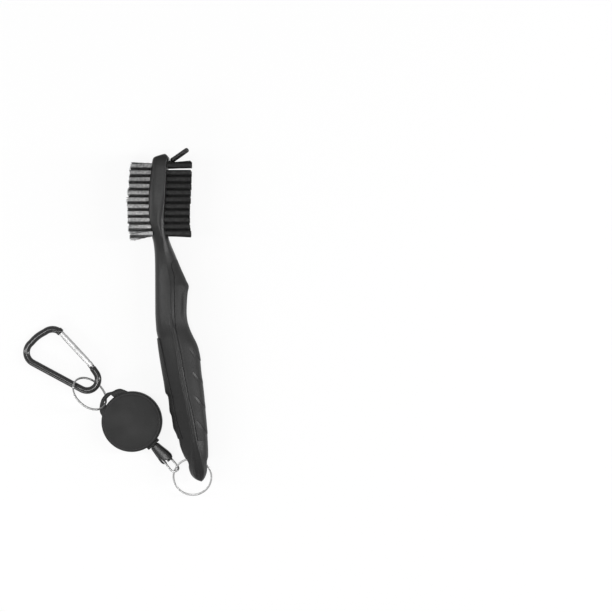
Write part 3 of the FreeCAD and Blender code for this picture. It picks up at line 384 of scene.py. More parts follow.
# the brush's form, millimetres along and across; heights are above its middle plane
brush = dict(
    wireEdge=table([(97.25, 27.6), (96.9, 26.3), (96.3, 24.4), (95.75, 22.7), (95.2, 21.7), (94.2, 21.1),
                    (92.5, 20.75), (86.5, 19.75), (79.6, 19.05), (73.2, 18.5),
                    (65.9, 18.3), (60.0, 18.5), (54.2, 19.35), (50.0, 20.4), (45.4, 21.4), (38.4, 22.0),
                    (31.4, 22.15), (19.8, 22.2), (5.9, 22.25), (-3.4, 22.75), (-12.6, 23.6), (-21.9, 24.9),
                    (-35.8, 27.3), (-40.8, 28.1), (-43.2, 29.6), (-47.4, 30.15), (-51.6, 30.5), (-54.5, 31.6),
                    (-57.5, 32.1), (-61.4, 32.7), (-64.5, 34.2), (-67.2, 35.2), (-73.0, 37.0), (-77.6, 38.9),
                    (-82.2, 41.2), (-85.5, 41.9), (-87.8, 42.7), (-89.6, 43.9), (-91.0, 45.6), (-91.9, 47.4),
                    (-92.3, 49.0)]),
    nylonEdge=table([(97.25, 28.5), (96.9, 29.05), (96.0, 29.85), (95.1, 30.3), (94.3, 30.25), (93.3, 29.85),
                     (92.0, 29.65), (87.1, 29.5), (76.4, 29.0),
                     (65.9, 28.45), (60.0, 28.3), (54.5, 28.6), (50.0, 29.6), (45.4, 31.2), (38.4, 34.2),
                     (31.4, 37.1), (24.5, 40.2), (20.6, 41.75), (17.0, 41.1), (12.9, 40.75), (5.9, 40.5),
                     (1.3, 40.9), (-3.4, 42.2), (-8.0, 44.2), (-12.6, 46.5), (-16.1, 47.6), (-21.9, 48.7),
                     (-28.9, 49.4), (-35.8, 50.3), (-42.8, 51.1), (-52.1, 51.9), (-61.4, 52.7), (-70.6, 53.0),
                     (-77.6, 53.0), (-82.2, 52.6), (-86.9, 52.2), (-89.0, 51.6), (-90.6, 50.8), (-91.7, 50.0),
                     (-92.3, 49.3)]),
    crest=table([(97.4, 28.3), (67.98, 27.0), (58.1, 25.5), (53.5, 26.1), (45.9, 27.3), (40.1, 28.1),
                 (32.6, 29.6), (26.8, 30.8), (-0.5, 32.5), (-8.6, 34.5), (-22.5, 36.6), (-34.4, 38.6),
                 (-47.4, 41.5), (-58.5, 43.5), (-66.6, 44.8), (-77.0, 46.6), (-92.3, 48.65)]),
    half=table([(97.25, 7.4), (96.8, 8.9), (95.6, 10.1), (93.0, 10.8), (89.0, 11.0), (56.0, 11.0),
                (50.0, 10.6), (45.0, 9.6), (40.0, 8.9), (34.0, 8.7), (19.5, 9.6), (9.0, 10.2), (-1.5, 10.6),
                (-15.7, 11.0),
                (-29.6, 11.0), (-43.5, 10.8), (-56.0, 10.2), (-69.0, 9.2), (-80.6, 7.6), (-86.5, 6.2),
                (-90.0, 4.4), (-91.6, 2.9), (-92.3, 1.6)]),
    boxy=table([(97.4, 6.0), (58.0, 6.0), (50.0, 4.2), (42.0, 2.7), (30.0, 2.2), (-92.3, 2.1)]),
    ridge=table([(97.4, 0.0), (78.0, 0.0), (66.0, 0.06), (56.0, 0.16), (44.0, 0.32), (20.0, 0.34),
                 (-60.0, 0.36), (-92.3, 0.12)]),
    beadHeight=table([(97.4, 0.0), (4.0, 0.0), (-6.0, 0.5), (-60.0, 0.62), (-78.0, 0.9), (-88.0, 1.1),
                      (-92.3, 0.2)]),
    beadHalf=table([(97.4, 0.9), (-60.0, 1.15), (-68.0, 1.35), (-78.0, 2.2), (-92.3, 3.0)]),
    wireInset=table([(97.4, 0.0), (-4.0, 0.0), (-9.6, 0.5), (-66.0, 0.5), (-72.0, 0.0)]),
    nylonInset=table([(97.4, 0.0), (40.0, 0.0), (30.0, 0.3), (-66.0, 0.3), (-74.0, 0.0)]),
    quarter=30, step=0.5, fineStep=0.1, fineRun=2.6,
    eye=dict(place=(46.0, -81.1), radius=2.9),
)


def halfHeight(along, across, crestAt, wire, nylon, half, boxy, ridge):
    edge = wire if across < crestAt else nylon
    share = min(max((across - crestAt) / (edge - crestAt), 0.0), 1.0)
    rounded = (1 - share ** boxy) ** (1 / boxy)
    height = half * ((1 - ridge) * rounded + ridge * (1 - share) ** 0.85)
    bead, spread = brush["beadHeight"](along), brush["beadHalf"](along)
    off = across - crestAt
    lift = sum(math.exp(-((off - side * spread) / (0.5 * spread)) ** 2) for side in (-1, 1))
    return height + bead * lift * min(1.0, 3 * (1 - share))


def sectionFrame(along, wireInset, nylonInset):
    wire, nylon = brush["wireEdge"](along) + wireInset, brush["nylonEdge"](along) - nylonInset
    crestAt = min(max(brush["crest"](along), wire + 0.3), nylon - 0.3)
    return wire, nylon, crestAt, brush["half"](along), brush["boxy"](along), brush["ridge"](along)


def sectionPoints(along, steps):
    # upper half of a section from the wire edge over the crest to the nylon edge
    wire, nylon, crestAt, half, boxy, ridge = sectionFrame(
        along, brush["wireInset"](along), brush["nylonInset"](along))
    points = []
    for step in range(-steps, steps + 1):
        phi = (abs(step) / steps) ** 1.15 * math.pi / 2
        share = math.sin(phi) ** (2 / boxy)
        across = crestAt + share * ((nylon - crestAt) if step > 0 else (wire - crestAt))
        points.append((across, halfHeight(along, across, crestAt, wire, nylon, half, boxy, ridge)))
    points[0], points[-1] = (wire, 0.0), (nylon, 0.0)
    return points


def fineEnds(low, high, step, fine, run):
    # stations closer together near both ends
    inner = stationsBetween(low + run, high - run, step)
    count = round(run / fine)
    return ([low + run * index / count for index in range(count)] + inner
            + [high - run + run * (index + 1) / count for index in range(count)])


def stationsBetween(low, high, step):
    count = max(2, round((high - low) / step))
    return [low + (high - low) * index / count for index in range(count + 1)]


def buildHandle():
    rings = []
    for along in fineEnds(-92.3, 97.25, brush["step"], brush["fineStep"], brush["fineRun"]):
        upper = sectionPoints(along, brush["quarter"])
        ring = [Vector((x, along, z)) for x, z in upper]
        ring += [Vector((x, along, -z)) for x, z in reversed(upper[1:-1])]
        rings.append([point * mm + Vector((0, 0, midHeight)) for point in ring])
    points, faces = tubeMesh(rings)
    return addMesh("handle", points, faces, "handle_plastic")


handle = buildHandle()
print("handle skin:", len(handle.data.polygons), "faces")


def evaluatedMesh(item):
    bpy.context.view_layer.update()
    return bpy.data.meshes.new_from_object(item.evaluated_get(bpy.context.evaluated_depsgraph_get()))


def cutAway(item, tool):
    # take the tool's room out of the item and drop the tool
    cutter = item.modifiers.new("cut", "BOOLEAN")
    cutter.operation, cutter.object, cutter.solver = "DIFFERENCE", tool, "EXACT"
    made = evaluatedMesh(item)
    item.modifiers.remove(cutter)
    item.data = made
    bpy.data.objects.remove(tool)


def drillEye(item):
    # the handle ring's hole runs across the tip from its wire side to its nylon side
    x, y = brush["eye"]["place"]
    radius, reach = brush["eye"]["radius"] * mm, 20 * mm
    spot = Vector((x * mm, y * mm, midHeight))
    rod = lathe([(0, -reach), (radius, -reach), (radius, reach), (0, reach)], 48, spot, Vector((1, 0, 0)))
    cutAway(item, addMesh("eyeTool", *rod, "handle_plastic"))


drillEye(handle)
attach(handle, "brush")
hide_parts("handle_core")

# soft grips: closed skins that wrap one edge of the handle
thumbGrip = dict(
    low=-68.3, high=36.4, side=1, under=0.9, proud=0.25, columns=22, step=0.3,
    seam=table([(36.4, 34.3), (35.2, 33.0), (33.0, 32.1), (26.7, 33.7), (12.0, 33.8), (-0.8, 34.4),
                (-15.0, 37.0), (-42.8, 42.0), (-55.3, 45.0), (-68.3, 47.2)]),
    ribs=[(48.9, -23.25), (50.5, -36.65), (51.9, -50.9), (52.7, -65.2)], ribDepth=1.5, ribSlant=127.0,
    ribLength=(7.0, 11.0), ribTail=3.0, lip=dict(inset=2.1, width=0.7, height=1.1, start=22.0, stop=-3.0),
)
fingerGrip = dict(
    low=-67.6, high=-9.3, side=-1, under=0.9, proud=0.25, columns=12, step=0.4,
    seam=table([(-9.3, 24.6), (-16.0, 26.2), (-29.0, 28.9), (-42.8, 32.1), (-55.3, 34.3), (-67.6, 37.9)]),
    ribs=[], lip=None,
)


def ribSink(grip, rib, across, along, share):
    # how far one slanted rib sinks the skin: a thin line that grows into a notch at the edge
    slant = math.radians(grip["ribSlant"])
    offX, offY = across - rib[0], along - rib[1]
    run = offX * math.cos(slant) + offY * math.sin(slant)
    beside = offX * math.sin(slant) - offY * math.cos(slant)
    start, stop = grip["ribLength"]
    fade = 1 - smooth((run - start) / (stop - start))
    notch = smooth((share - 0.55) / 0.3)
    tail = math.exp(beside / grip["ribTail"]) if beside < 0 else math.exp(-((beside / 0.25) ** 2))
    line = math.exp(-((beside / 0.4) ** 2))
    return grip["ribDepth"] * (notch * tail + (1 - notch) * 0.6 * line) * fade


def gripPoint(grip, along, share, under):
    # share runs 0 at the seam to 1 at the edge
    wire, nylon, crestAt, half, boxy, ridge = sectionFrame(along, 0.0, 0.0)
    edge = nylon if grip["side"] > 0 else wire
    seam = grip["seam"](along)
    across = seam + (edge - seam) * math.sin(share * math.pi / 2)
    height = halfHeight(along, across, crestAt, wire, nylon, half, boxy, ridge) if share < 1 else 0.0
    outX, outZ = (across - crestAt) / abs(edge - crestAt), height / half
    size = math.hypot(outX, outZ) or 1.0
    sink = under
    for rib in grip["ribs"]:
        sink += ribSink(grip, rib, across, along, share) * (1 if under == 0 else 0.5)
    lip = grip["lip"]
    if lip and under == 0 and lip["stop"] < along < lip["start"]:
        window = math.sin(math.pi * (along - lip["stop"]) / (lip["start"] - lip["stop"]))
        off = (abs(edge - across) - lip["inset"]) / lip["width"]
        sink -= lip["height"] * window * math.exp(-(off ** 2))
    return Vector((across - sink * outX / size, along, max(height - sink * outZ / size, 0.0)))


def buildGrip(name, grip, node):
    loops = []
    for along in stationsBetween(grip["low"], grip["high"], grip["step"]):
        outer, inner = [], []
        for target, under in ((outer, 0.0), (inner, grip["under"])):
            shares = [index / grip["columns"] for index in range(grip["columns"] + 1)]
            upper = [gripPoint(grip, along, share, under) for share in shares]
            lower = [Vector((point.x, point.y, -point.z)) for point in reversed(upper[:-1])]
            target.extend(upper + lower)
        # the seam edges stand a little proud of the handle
        for index in (0, len(outer) - 1):
            point = outer[index]
            proud = math.copysign(grip["proud"], point.z) if abs(point.z) > 0.6 else 0.0
            outer[index] = point + Vector((0, 0, proud))
        loops.append([point * mm + Vector((0, 0, midHeight)) for point in outer + inner[::-1]])
    made = addMesh(name, *tubeMesh(loops), "grip_rubber", "brush")
    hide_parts(node)


buildGrip("thumbGrip", thumbGrip, "thumb_grip")
buildGrip("fingerGrip", fingerGrip, "finger_grip")
print("soft grips made")


# bristles
class Recipe(Graph):
    # one geometry node tree with named inputs
    def __init__(self, name, inputs):
        tree = bpy.data.node_groups.new(name, "GeometryNodeTree")
        self.keys = {}
        for label, kind in inputs:
            made = tree.interface.new_socket(label, in_out="INPUT", socket_type=kind)
            self.keys[label] = made.identifier
        tree.interface.new_socket("Geometry", in_out="OUTPUT", socket_type="NodeSocketGeometry")
        super().__init__(tree, "NodeGroupOutput")
        self.source = tree.nodes.new("NodeGroupInput")

    def given(self, label):
        return Signal(self, self.source.outputs[label])

    def move(self, operation, *vectors):
        return self.node("ShaderNodeVectorMath", {"operation": operation}, dict(enumerate(vectors)), "Vector")

    def vector(self, x, y, z):
        return self.node("ShaderNodeCombineXYZ", {}, {0: x, 1: y, 2: z})

    def keep(self, geometry, name, value):
        return self.node("GeometryNodeStoreNamedAttribute", {"data_type": "FLOAT_VECTOR", "domain": "POINT"},
                         {"Geometry": geometry, "Name": name, "Value": value})

    def read(self, name):
        return self.node("GeometryNodeInputNamedAttribute", {"data_type": "FLOAT_VECTOR"}, {"Name": name})


goldenAngle = 2.39996


def bristleRecipe():
    # each root point becomes a fanned tuft of crimped, straying filaments
    floats = ("Root Radius", "Tip Radius", "Length", "Filament Radius", "Stray", "Crimp", "Waves", "Uneven")
    recipe = Recipe("bristles", [("Geometry", "NodeSocketGeometry"), ("Filaments", "NodeSocketInt"),
                                 ("Segments", "NodeSocketInt"), ("Seed", "NodeSocketInt"),
                                 *[(label, "NodeSocketFloat") for label in floats],
                                 ("Direction", "NodeSocketVector"), ("Material", "NodeSocketMaterial")])
    given = recipe.given
    copies = recipe.node("GeometryNodeDuplicateElements", {"domain": "POINT"},
                         {"Geometry": given("Geometry"), "Amount": given("Filaments")})
    number = Signal(recipe, copies.socket.node.outputs["Duplicate Index"])
    share = ((number + 0.5) / given("Filaments")).maths("POWER", 0.5)
    angle = number * goldenAngle
    fan = recipe.vector(0.0, share * angle.maths("COSINE"), share * angle.maths("SINE"))
    wild = recipe.node("FunctionNodeRandomValue", {"data_type": "FLOAT_VECTOR"},
                       {0: (-1, -1, -1), 1: (1, 1, 1), "Seed": given("Seed")})
    kept = recipe.keep(copies, "fan", fan)
    kept = recipe.keep(kept, "wild", wild)
    spread = recipe.node("GeometryNodeSetPosition", {}, {
        "Geometry": kept, "Offset": recipe.scaled(recipe.read("fan"), given("Root Radius"))})
    line = recipe.node("GeometryNodeCurvePrimitiveLine", {}, {
        "Start": (0, 0, 0), "End": recipe.scaled(given("Direction"), given("Length"))})
    fibre = recipe.node("GeometryNodeResampleCurve", {}, {"Curve": line, "Count": given("Segments") + 1})
    placed = recipe.node("GeometryNodeInstanceOnPoints", {}, {"Points": spread, "Instance": fibre})
    real = recipe.node("GeometryNodeRealizeInstances", {}, {"Geometry": placed})
    along = recipe.node("GeometryNodeSplineParameter", {}, {})
    fanned, strays = recipe.read("fan"), recipe.read("wild")
    parts = recipe.node("ShaderNodeSeparateXYZ", {}, {0: strays})
    partY, partZ = (Signal(recipe, parts.socket.node.outputs[index]) for index in (1, 2))
    wave = ((along * given("Waves") + parts) * turn).maths("SINE") * given("Crimp") * along.range(0, 0.2)
    offset = recipe.scaled(fanned, (given("Tip Radius") - given("Root Radius")) * along)
    moves = (
        (recipe.move("MULTIPLY", strays, (0, 1, 1)), given("Stray") * along * along),
        (recipe.vector(0.0, partY.maths("SIGN"), partZ.maths("SIGN")), wave),
        (recipe.read("lean"), along.maths("POWER", 1.3) * given("Length")),
        (given("Direction"), partZ * along * given("Uneven") * given("Length")),
    )
    for vector, amount in moves:
        offset = recipe.move("ADD", offset, recipe.scaled(vector, amount))
    bent = recipe.node("GeometryNodeSetPosition", {}, {"Geometry": real, "Offset": offset})
    ring = recipe.node("GeometryNodeCurvePrimitiveCircle", {"mode": "RADIUS"}, {
        "Resolution": 3, "Radius": given("Filament Radius")})
    skin = recipe.node("GeometryNodeCurveToMesh", {}, {
        "Curve": bent, "Profile Curve": ring, "Fill Caps": True})
    whole = recipe.node("GeometryNodeRealizeInstances", {}, {"Geometry": skin})
    recipe.end(recipe.node("GeometryNodeSetMaterial", {}, {
        "Geometry": whole, "Material": given("Material")}))
    return recipe


def runRecipe(recipe, name, points, leans, settings, slot, body):
    data = bpy.data.meshes.new(name + "Roots")
    data.from_pydata(points, [], [])
    lean = data.attributes.new("lean", "FLOAT_VECTOR", "POINT")
    lean.data.foreach_set("vector", [value for row in leans for value in row])
    source = bpy.data.objects.new(name + "Source", data)
    bpy.context.scene.collection.objects.link(source)
    modifier = source.modifiers.new("recipe", "NODES")
    modifier.node_group = recipe.tree
    for label, setting in settings.items():
        modifier[recipe.keys[label]] = setting
    modifier[recipe.keys["Material"]] = paints[slot]
    made = evaluatedMesh(source)
    for attribute in ("fan", "wild", "lean"):
        if attribute in made.attributes:
            made.attributes.remove(made.attributes[attribute])
    bpy.data.objects.remove(source)
    item = bpy.data.objects.new(name, made)
    bpy.context.scene.collection.objects.link(item)
    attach(item, body)
    return item


wireBristles = dict(
    side=-1, columns=5, columnPitch=3.9, nodes=("wire_tufts", "wire_corner_tufts"), slot="bristle_wire",
    seat=1.2, closed=0, lifts={}, ragged=0.035, scatter=0.045, leans={0: 0.02, 9: -0.07, 10: -0.15},
    settings={"Filaments": 60, "Segments": 8, "Seed": 3, "Root Radius": 0.00130, "Tip Radius": 0.00164,
              "Length": 0.0125, "Filament Radius": 0.00016, "Stray": 0.00035, "Crimp": 0.00013, "Waves": 4.5,
              "Uneven": 0.055, "Direction": (-1.0, 0.0, 0.0)},
)
nylonBristles = dict(
    side=1, columns=5, columnPitch=3.9, nodes=("nylon_tufts", "nylon_corner_tufts"), slot="bristle_nylon",
    seat=1.2, closed=1, lifts={0: 0.4}, ragged=0.012, scatter=0.02, leans={0: 0.045},
    settings={"Filaments": 96, "Segments": 4, "Seed": 8, "Root Radius": 0.00140, "Tip Radius": 0.00164,
              "Length": 0.0148, "Filament Radius": 0.00014, "Stray": 0.00012, "Crimp": 0.0, "Waves": 0.0,
              "Uneven": 0.012, "Direction": (1.0, 0.0, 0.0)},
)


def buildBristles(name, kit, recipe):
    edge = brush["wireEdge"] if kit["side"] < 0 else brush["nylonEdge"]
    scatter = random.Random(kit["settings"]["Seed"])
    points, leans = [], []
    for row in range(tuftRows["count"]):
        along = tuftRows["first"] - row * tuftRows["pitch"]
        for column in range(kit["columns"]):
            across = (column - (kit["columns"] - 1) / 2) * kit["columnPitch"]
            # inner columns sit between the outer rows and close the view through the tufts
            shifted = column % 2 == 1 and kit["closed"] <= row < tuftRows["count"] - 1
            place = along - tuftRows["pitch"] / 2 if shifted else along + kit["lifts"].get(row, 0.0)
            root = edge(place) - kit["side"] * kit["seat"]
            points.append((root * mm, place * mm, midHeight + across * mm))
            longer = scatter.uniform(-1, 1) * kit["ragged"]
            lean = kit["leans"].get(row, 0.0) + scatter.uniform(-1, 1) * kit["scatter"]
            leans.append((longer, lean, scatter.uniform(-1, 1) * kit["scatter"]))
    item = runRecipe(recipe, name, points, leans, kit["settings"], kit["slot"], "brush")
    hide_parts(*kit["nodes"])
    print(name, len(item.data.polygons), "faces")


bristles = bristleRecipe()
buildBristles("wireBristles", wireBristles, bristles)
buildBristles("nylonBristles", nylonBristles, bristles)


# places read from the CAD nodes
def cloud(node):
    found = np.empty(len(nodes[node].data.vertices) * 3)
    nodes[node].data.vertices.foreach_get("co", found)
    return found.reshape(-1, 3)


def ringPlane(node):
    # centre and normal of a ring
    points = cloud(node)
    centre = (points.min(0) + points.max(0)) / 2
    normal = np.linalg.svd(points - points.mean(0), full_matrices=False)[2][2]
    return Vector(centre), Vector(normal) * (1 if normal[2] > 0 else -1)


def axisSpan(node, axis):
    # where a turned node starts and ends along its axis, and its radius
    points, axis = cloud(node), np.array(axis) / np.linalg.norm(axis)
    along = points @ axis
    flat = points - np.outer(along, axis)
    middle = (flat.min(0) + flat.max(0)) / 2
    middle -= axis * (middle @ axis)
    radius = np.linalg.norm(flat - middle, axis=1).max()
    return Vector(middle + axis * along.min()), Vector(middle + axis * along.max()), radius


def sweep(path, profile):
    # a profile of (side, up) points carried along (point, side, up) frames
    return [[spot + side * x + up * y for x, y in profile] for spot, side, up in path]


def roundProfile(halfWide, halfHigh, count=12, power=2.0):
    points = []
    for step in range(count):
        angle = turn * step / count
        c, s = math.cos(angle), math.sin(angle)
        points.append((halfWide * math.copysign(abs(c) ** (2 / power), c),
                       halfHigh * math.copysign(abs(s) ** (2 / power), s)))
    return points


splitRing = dict(radius=11.0, wide=0.52, high=0.25, pitch=0.53, steps=150, turns=1.94)


def buildSplitRing(name, node, body, start):
    # flat wire wound nearly twice around, changing level halfway
    centre, normal = ringPlane(node)
    first = normal.orthogonal().normalized()
    second = normal.cross(first)
    path, count = [], splitRing["steps"]
    for step in range(count + 1):
        share = step / count
        angle = start + turn * splitRing["turns"] * share
        outward = first * math.cos(angle) + second * math.sin(angle)
        rise = (smooth((share - 0.42) / 0.16) - 0.5) * splitRing["pitch"] * mm
        path.append((centre + outward * splitRing["radius"] * mm + normal * rise, outward, normal))
    profile = roundProfile(splitRing["wide"] * mm, splitRing["high"] * mm, 12, 3.0)
    item = addMesh(name, *tubeMesh(sweep(path, profile)), "ring_steel", body)
    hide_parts(node)


buildSplitRing("handleRing", "handle_ring", "handle_ring", 0.4)
buildSplitRing("clipRing", "reel_ring", "reel_ring", 2.6)


capForm = dict(
    neck=1.05, shoulder=(0.12, 0.55), full=0.9, sides=(0.2, 0.4, 0.6, 0.8), domeSteps=8,
    flutes=6, fluteDepth=0.16, segments=60,
)


def buildCap():
    start, end, radius = axisSpan("spike_cap", joints["cap_pull"]["axis"])
    axis = (end - start).normalized()
    long = (end - start).length
    neck, (inset, rise) = capForm["neck"] * mm, capForm["shoulder"]
    profile = [(0.0, 0.0), (neck, 0.0), (neck * 1.2, 0.1 * mm),
               (radius - inset * mm, rise * mm), (radius, capForm["full"] * mm)]
    profile += [(radius, long * share) for share in capForm["sides"]]
    for step in range(capForm["domeSteps"]):
        angle = step * math.pi / (2 * capForm["domeSteps"])
        profile.append((radius * math.cos(angle), long - radius + radius * math.sin(angle)))
    profile.append((0.0, long))
    points, faces = lathe(profile, capForm["segments"], start, axis)
    spin = axis.to_track_quat("Z", "Y")
    for index, point in enumerate(points):
        local = spin.inverted() @ (point - start)
        fade = smooth(local.z / mm - capForm["full"]) * smooth((long - local.z) / mm - 0.6)
        flute = (1 + math.cos(capForm["flutes"] * math.atan2(local.y, local.x))) / 2
        cut = 1 - fade * capForm["fluteDepth"] * flute
        points[index] = start + spin @ Vector((local.x * cut, local.y * cut, local.z))
    item = addMesh("spikeCap", points, faces, "cap_rubber", "cap")
    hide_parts("spike_cap")


buildCap()


coverForm = dict(
    segments=128, seat=7.4, rim=1.34, rimDepth=0.9, hollow=(14.8, 14.9), hollowTop=1.4,
    corner=1.25, cornerSteps=8, cornerTurn=72.0, domeSteps=40,
    grooveAt=15.9, grooveHalf=0.18, grooveDeep=0.16,
)


def buildCover():
    low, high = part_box("reel_front_cover")
    centre = Vector(((low.x + high.x) / 2, (low.y + high.y) / 2, 0))
    radius, top = (high.x - low.x) / 2, high.z
    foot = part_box("reel_back_case")[0].z + coverForm["seat"] * mm
    rim, drop = radius - coverForm["rim"] * mm, foot - coverForm["rimDepth"] * mm
    innerHollow, outerHollow = coverForm["hollow"]
    profile = [(0.0, foot + coverForm["hollowTop"] * mm), (innerHollow * mm, foot + 0.2 * mm),
               (outerHollow * mm, drop), (rim, drop), (rim, foot + 0.02 * mm),
               (radius - 0.1 * mm, foot + 0.02 * mm), (radius, foot + 0.15 * mm)]
    corner = coverForm["corner"] * mm
    for step in range(coverForm["cornerSteps"] + 1):
        angle = step / coverForm["cornerSteps"] * math.radians(coverForm["cornerTurn"])
        rise = 0.25 * mm + corner * math.sin(angle)
        profile.append((radius - corner * (1 - math.cos(angle)), foot + rise))
    edge, shoulder = profile[-1]
    for step in range(1, coverForm["domeSteps"] + 1):
        share = 1 - step / coverForm["domeSteps"]
        at = edge * share
        beside = (at / mm - coverForm["grooveAt"]) / coverForm["grooveHalf"]
        groove = math.exp(-(beside ** 2)) * coverForm["grooveDeep"] * mm
        profile.append((at, top - (top - shoulder) * (at / edge) ** 2 - groove))
    points, faces = lathe(profile, coverForm["segments"], centre)
    item = addMesh("reelCover", points, faces, "reel_plastic", "reel")
    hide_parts("reel_front_cover")


buildCover()


def shells(parts):
    # several closed skins as one list of points and faces
    points, faces = [], []
    for morePoints, moreFaces in parts:
        faces += [tuple(index + len(points) for index in face) for face in moreFaces]
        points += list(morePoints)
    return points, faces


def slab(origin, x, y, z, corner):
    # a block with rounded upright edges, from half sizes held by the three directions
    ring = roundProfile(1.0, 1.0, 28, corner)
    loops = []
    for level, shrink in ((-1.0, 0.90), (-0.93, 0.97), (-0.8, 1.0), (0.8, 1.0), (0.93, 0.97), (1.0, 0.90)):
        loops.append([origin + x * a * shrink + y * b * shrink + z * level for a, b in ring])
    return tubeMesh(loops)


# the eye row is its two end angles, the turn it eases over and its inner radius
caseForm = dict(
    height=7.4, round=0.9, wall=1.3, post=2.2, segments=128,
    bailStart=176.0, bailStep=0.5, bailRings=165, bailHeight=5.3, bailHigh=1.2, bailInner=16.4,
    outer=table([(176, 17.0), (170, 17.7), (164, 19.3), (157, 20.5), (150, 21.3), (141, 22.1), (132, 22.2),
                 (127, 21.5), (122, 20.9), (116, 20.8), (110, 20.4), (104, 19.1), (98, 17.8), (94, 17.1)]),
    eye=(125.5, 148.5, 3.0, 19.75),
    mouthReach=1.3, mouthHalf=4.1, mouthHigh=2.9, exitHeight=4.2,
)


def buildCase():
    low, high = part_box("reel_front_cover")
    centre = Vector(((low.x + high.x) / 2, (low.y + high.y) / 2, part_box("reel_back_case")[0].z))
    radius, top, corner = (high.x - low.x) / 2, caseForm["height"] * mm, caseForm["round"] * mm
    wall, post = caseForm["wall"] * mm, caseForm["post"] * mm
    profile = [(0.0, 0.0), (radius - corner * 1.2, 0.0)]
    profile += [(radius - corner + corner * math.sin(a), corner - corner * math.cos(a))
                for a in (math.radians(step * 15) for step in range(1, 7))]
    profile += [(radius, top - 0.25 * mm), (radius - 0.25 * mm, top), (radius - wall, top),
                (radius - wall, wall), (post, wall), (post, top), (0.0, top)]
    body = lathe(profile, caseForm["segments"], centre)
    path = []
    eyeLow, eyeHigh, ease, eyeIn = caseForm["eye"]
    for step in range(caseForm["bailRings"]):
        angle = caseForm["bailStart"] - step * caseForm["bailStep"]
        inside = smooth((angle - eyeLow) / ease) * smooth((eyeHigh - angle) / ease)
        inner = caseForm["bailInner"] + (eyeIn - caseForm["bailInner"]) * inside
        outer = caseForm["outer"](angle)
        spoke = Vector((math.cos(math.radians(angle)), math.sin(math.radians(angle)), 0))
        spot = centre + spoke * (inner + outer) / 2 * mm + Vector((0, 0, caseForm["bailHeight"] * mm))
        path.append([spot + spoke * x * mm + Vector((0, 0, y * mm))
                     for x, y in roundProfile((outer - inner) / 2, caseForm["bailHigh"], 20, 3.0)])
    bail = tubeMesh(path)
    out = -Vector(joints["cord_pull"]["axis"]).normalized()
    side = Vector((0, 0, 1)).cross(out)
    start = centre + out * (radius - 0.6 * mm)
    stop = centre + out * (radius + caseForm["mouthReach"] * mm)
    mouth = slab((start + stop) / 2 + Vector((0, 0, caseForm["exitHeight"] * mm)), (stop - start) / 2,
                 side * caseForm["mouthHalf"] * mm, Vector((0, 0, caseForm["mouthHigh"] * mm)), 7.0)
    item = addMesh("reelCase", *shells([body, bail, mouth]), "reel_plastic", "reel")
    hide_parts("reel_back_case")


buildCase()


connectorForm = dict(
    halves=[(0.0, 2.2), (0.15, 2.55), (0.5, 2.8), (2.0, 3.0), (5.0, 3.45), (8.0, 3.9), (10.0, 4.0),
            (11.2, 3.75), (12.0, 3.2), (12.5, 2.3), (12.65, 1.2)],
    stations=(0.0, 0.15, 0.5, 1.2, 2.0, 3.0, 4.0, 5.0, 6.0, 7.0, 8.0, 9.0, 10.0, 10.6, 11.2, 11.6, 12.0, 12.3,
              12.5, 12.65),
    high=3.0, start=0.15,
    slot=dict(half=1.15, wide=9.0, back=3.6, far=14.0),
    notch=dict(half=1.0, high=2.6, lift=2.5, back=2.7),
)


def buildConnector():
    out = -Vector(joints["cord_pull"]["axis"]).normalized()
    up = Vector((0, 0, 1))
    side = up.cross(out)
    pin = Vector(joints["connector_swing"]["pos_m"])
    low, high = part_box("reel_front_cover")
    centre = Vector(((low.x + high.x) / 2, (low.y + high.y) / 2, pin.z))
    start = centre + out * ((high.x - low.x) / 2 + (caseForm["mouthReach"] + connectorForm["start"]) * mm)
    read = table(connectorForm["halves"])
    loops = []
    for at in connectorForm["stations"]:
        half, tall = read(at), min(connectorForm["high"], read(at) * 1.15 + 0.2)
        loops.append([start + out * at * mm + side * x * mm + up * z * mm
                      for x, z in roundProfile(half, tall, 32, 3.2)])
    item = addMesh("cordConnector", *tubeMesh(loops), "connector_plastic")
    lowLink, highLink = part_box("oval_link")
    normal = Vector(joints["connector_swing"]["axis"]).normalized()
    reach = ((lowLink + highLink) / 2 - pin)
    reach = (reach - normal * reach.dot(normal)).normalized()
    across = normal.cross(reach)
    # a slot for the link through the pin, then a notch above it in the upper side
    slot, notch = connectorForm["slot"], connectorForm["notch"]
    back, far = slot["back"] * mm, slot["far"] * mm
    tool = slab(pin + reach * (far - back) / 2, reach * (far + back) / 2,
                across * slot["wide"] * mm, normal * slot["half"] * mm, 12.0)
    cutAway(item, addMesh("slotTool", *tool, "connector_plastic"))
    back = notch["back"] * mm
    tool = slab(pin + reach * (far - back) / 2 + normal * notch["lift"] * mm, reach * (far + back) / 2,
                across * notch["half"] * mm, normal * notch["high"] * mm, 2.6)
    cutAway(item, addMesh("notchTool", *tool, "connector_plastic"))
    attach(item, "connector")
    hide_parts("cord_connector")


buildConnector()


# the bent rod of the carabiner, in its own plane from the centre of its wide bend;
# a bend is its centre, its radius and the angles where it starts and stops
clipForm = dict(
    foot=(-46.35, -17.6, 2.45), turn=-28.0, lift=2.1, rod=2.0, sides=28,
    bends=[((4.2, 9.5), 7.0, 73.0, 156.2), ((0.0, 0.0), 7.0, 156.2, 270.0),
           ((32.5, -0.6), 6.5, 270.0, 423.0)],
    bendSteps=24, swell=0.6, hingeRun=6.6, tongueRun=3.2,
    noseEnd=[(-0.25, 1.6), (-0.1, 1.9)], hingeEnd=[(0.15, 1.9), (0.3, 1.6)],
    collar=[(0.12, 2.05), (0.27, 2.2), (2.15, 2.2), (2.3, 2.05)],
    tongueHalf=0.75, hingeTongue=dict(back=1.3, long=2.6, wide=1.6, corner=4.0),
    noseTongue=dict(back=0.8, long=1.4, wide=0.95, corner=6.0),
)


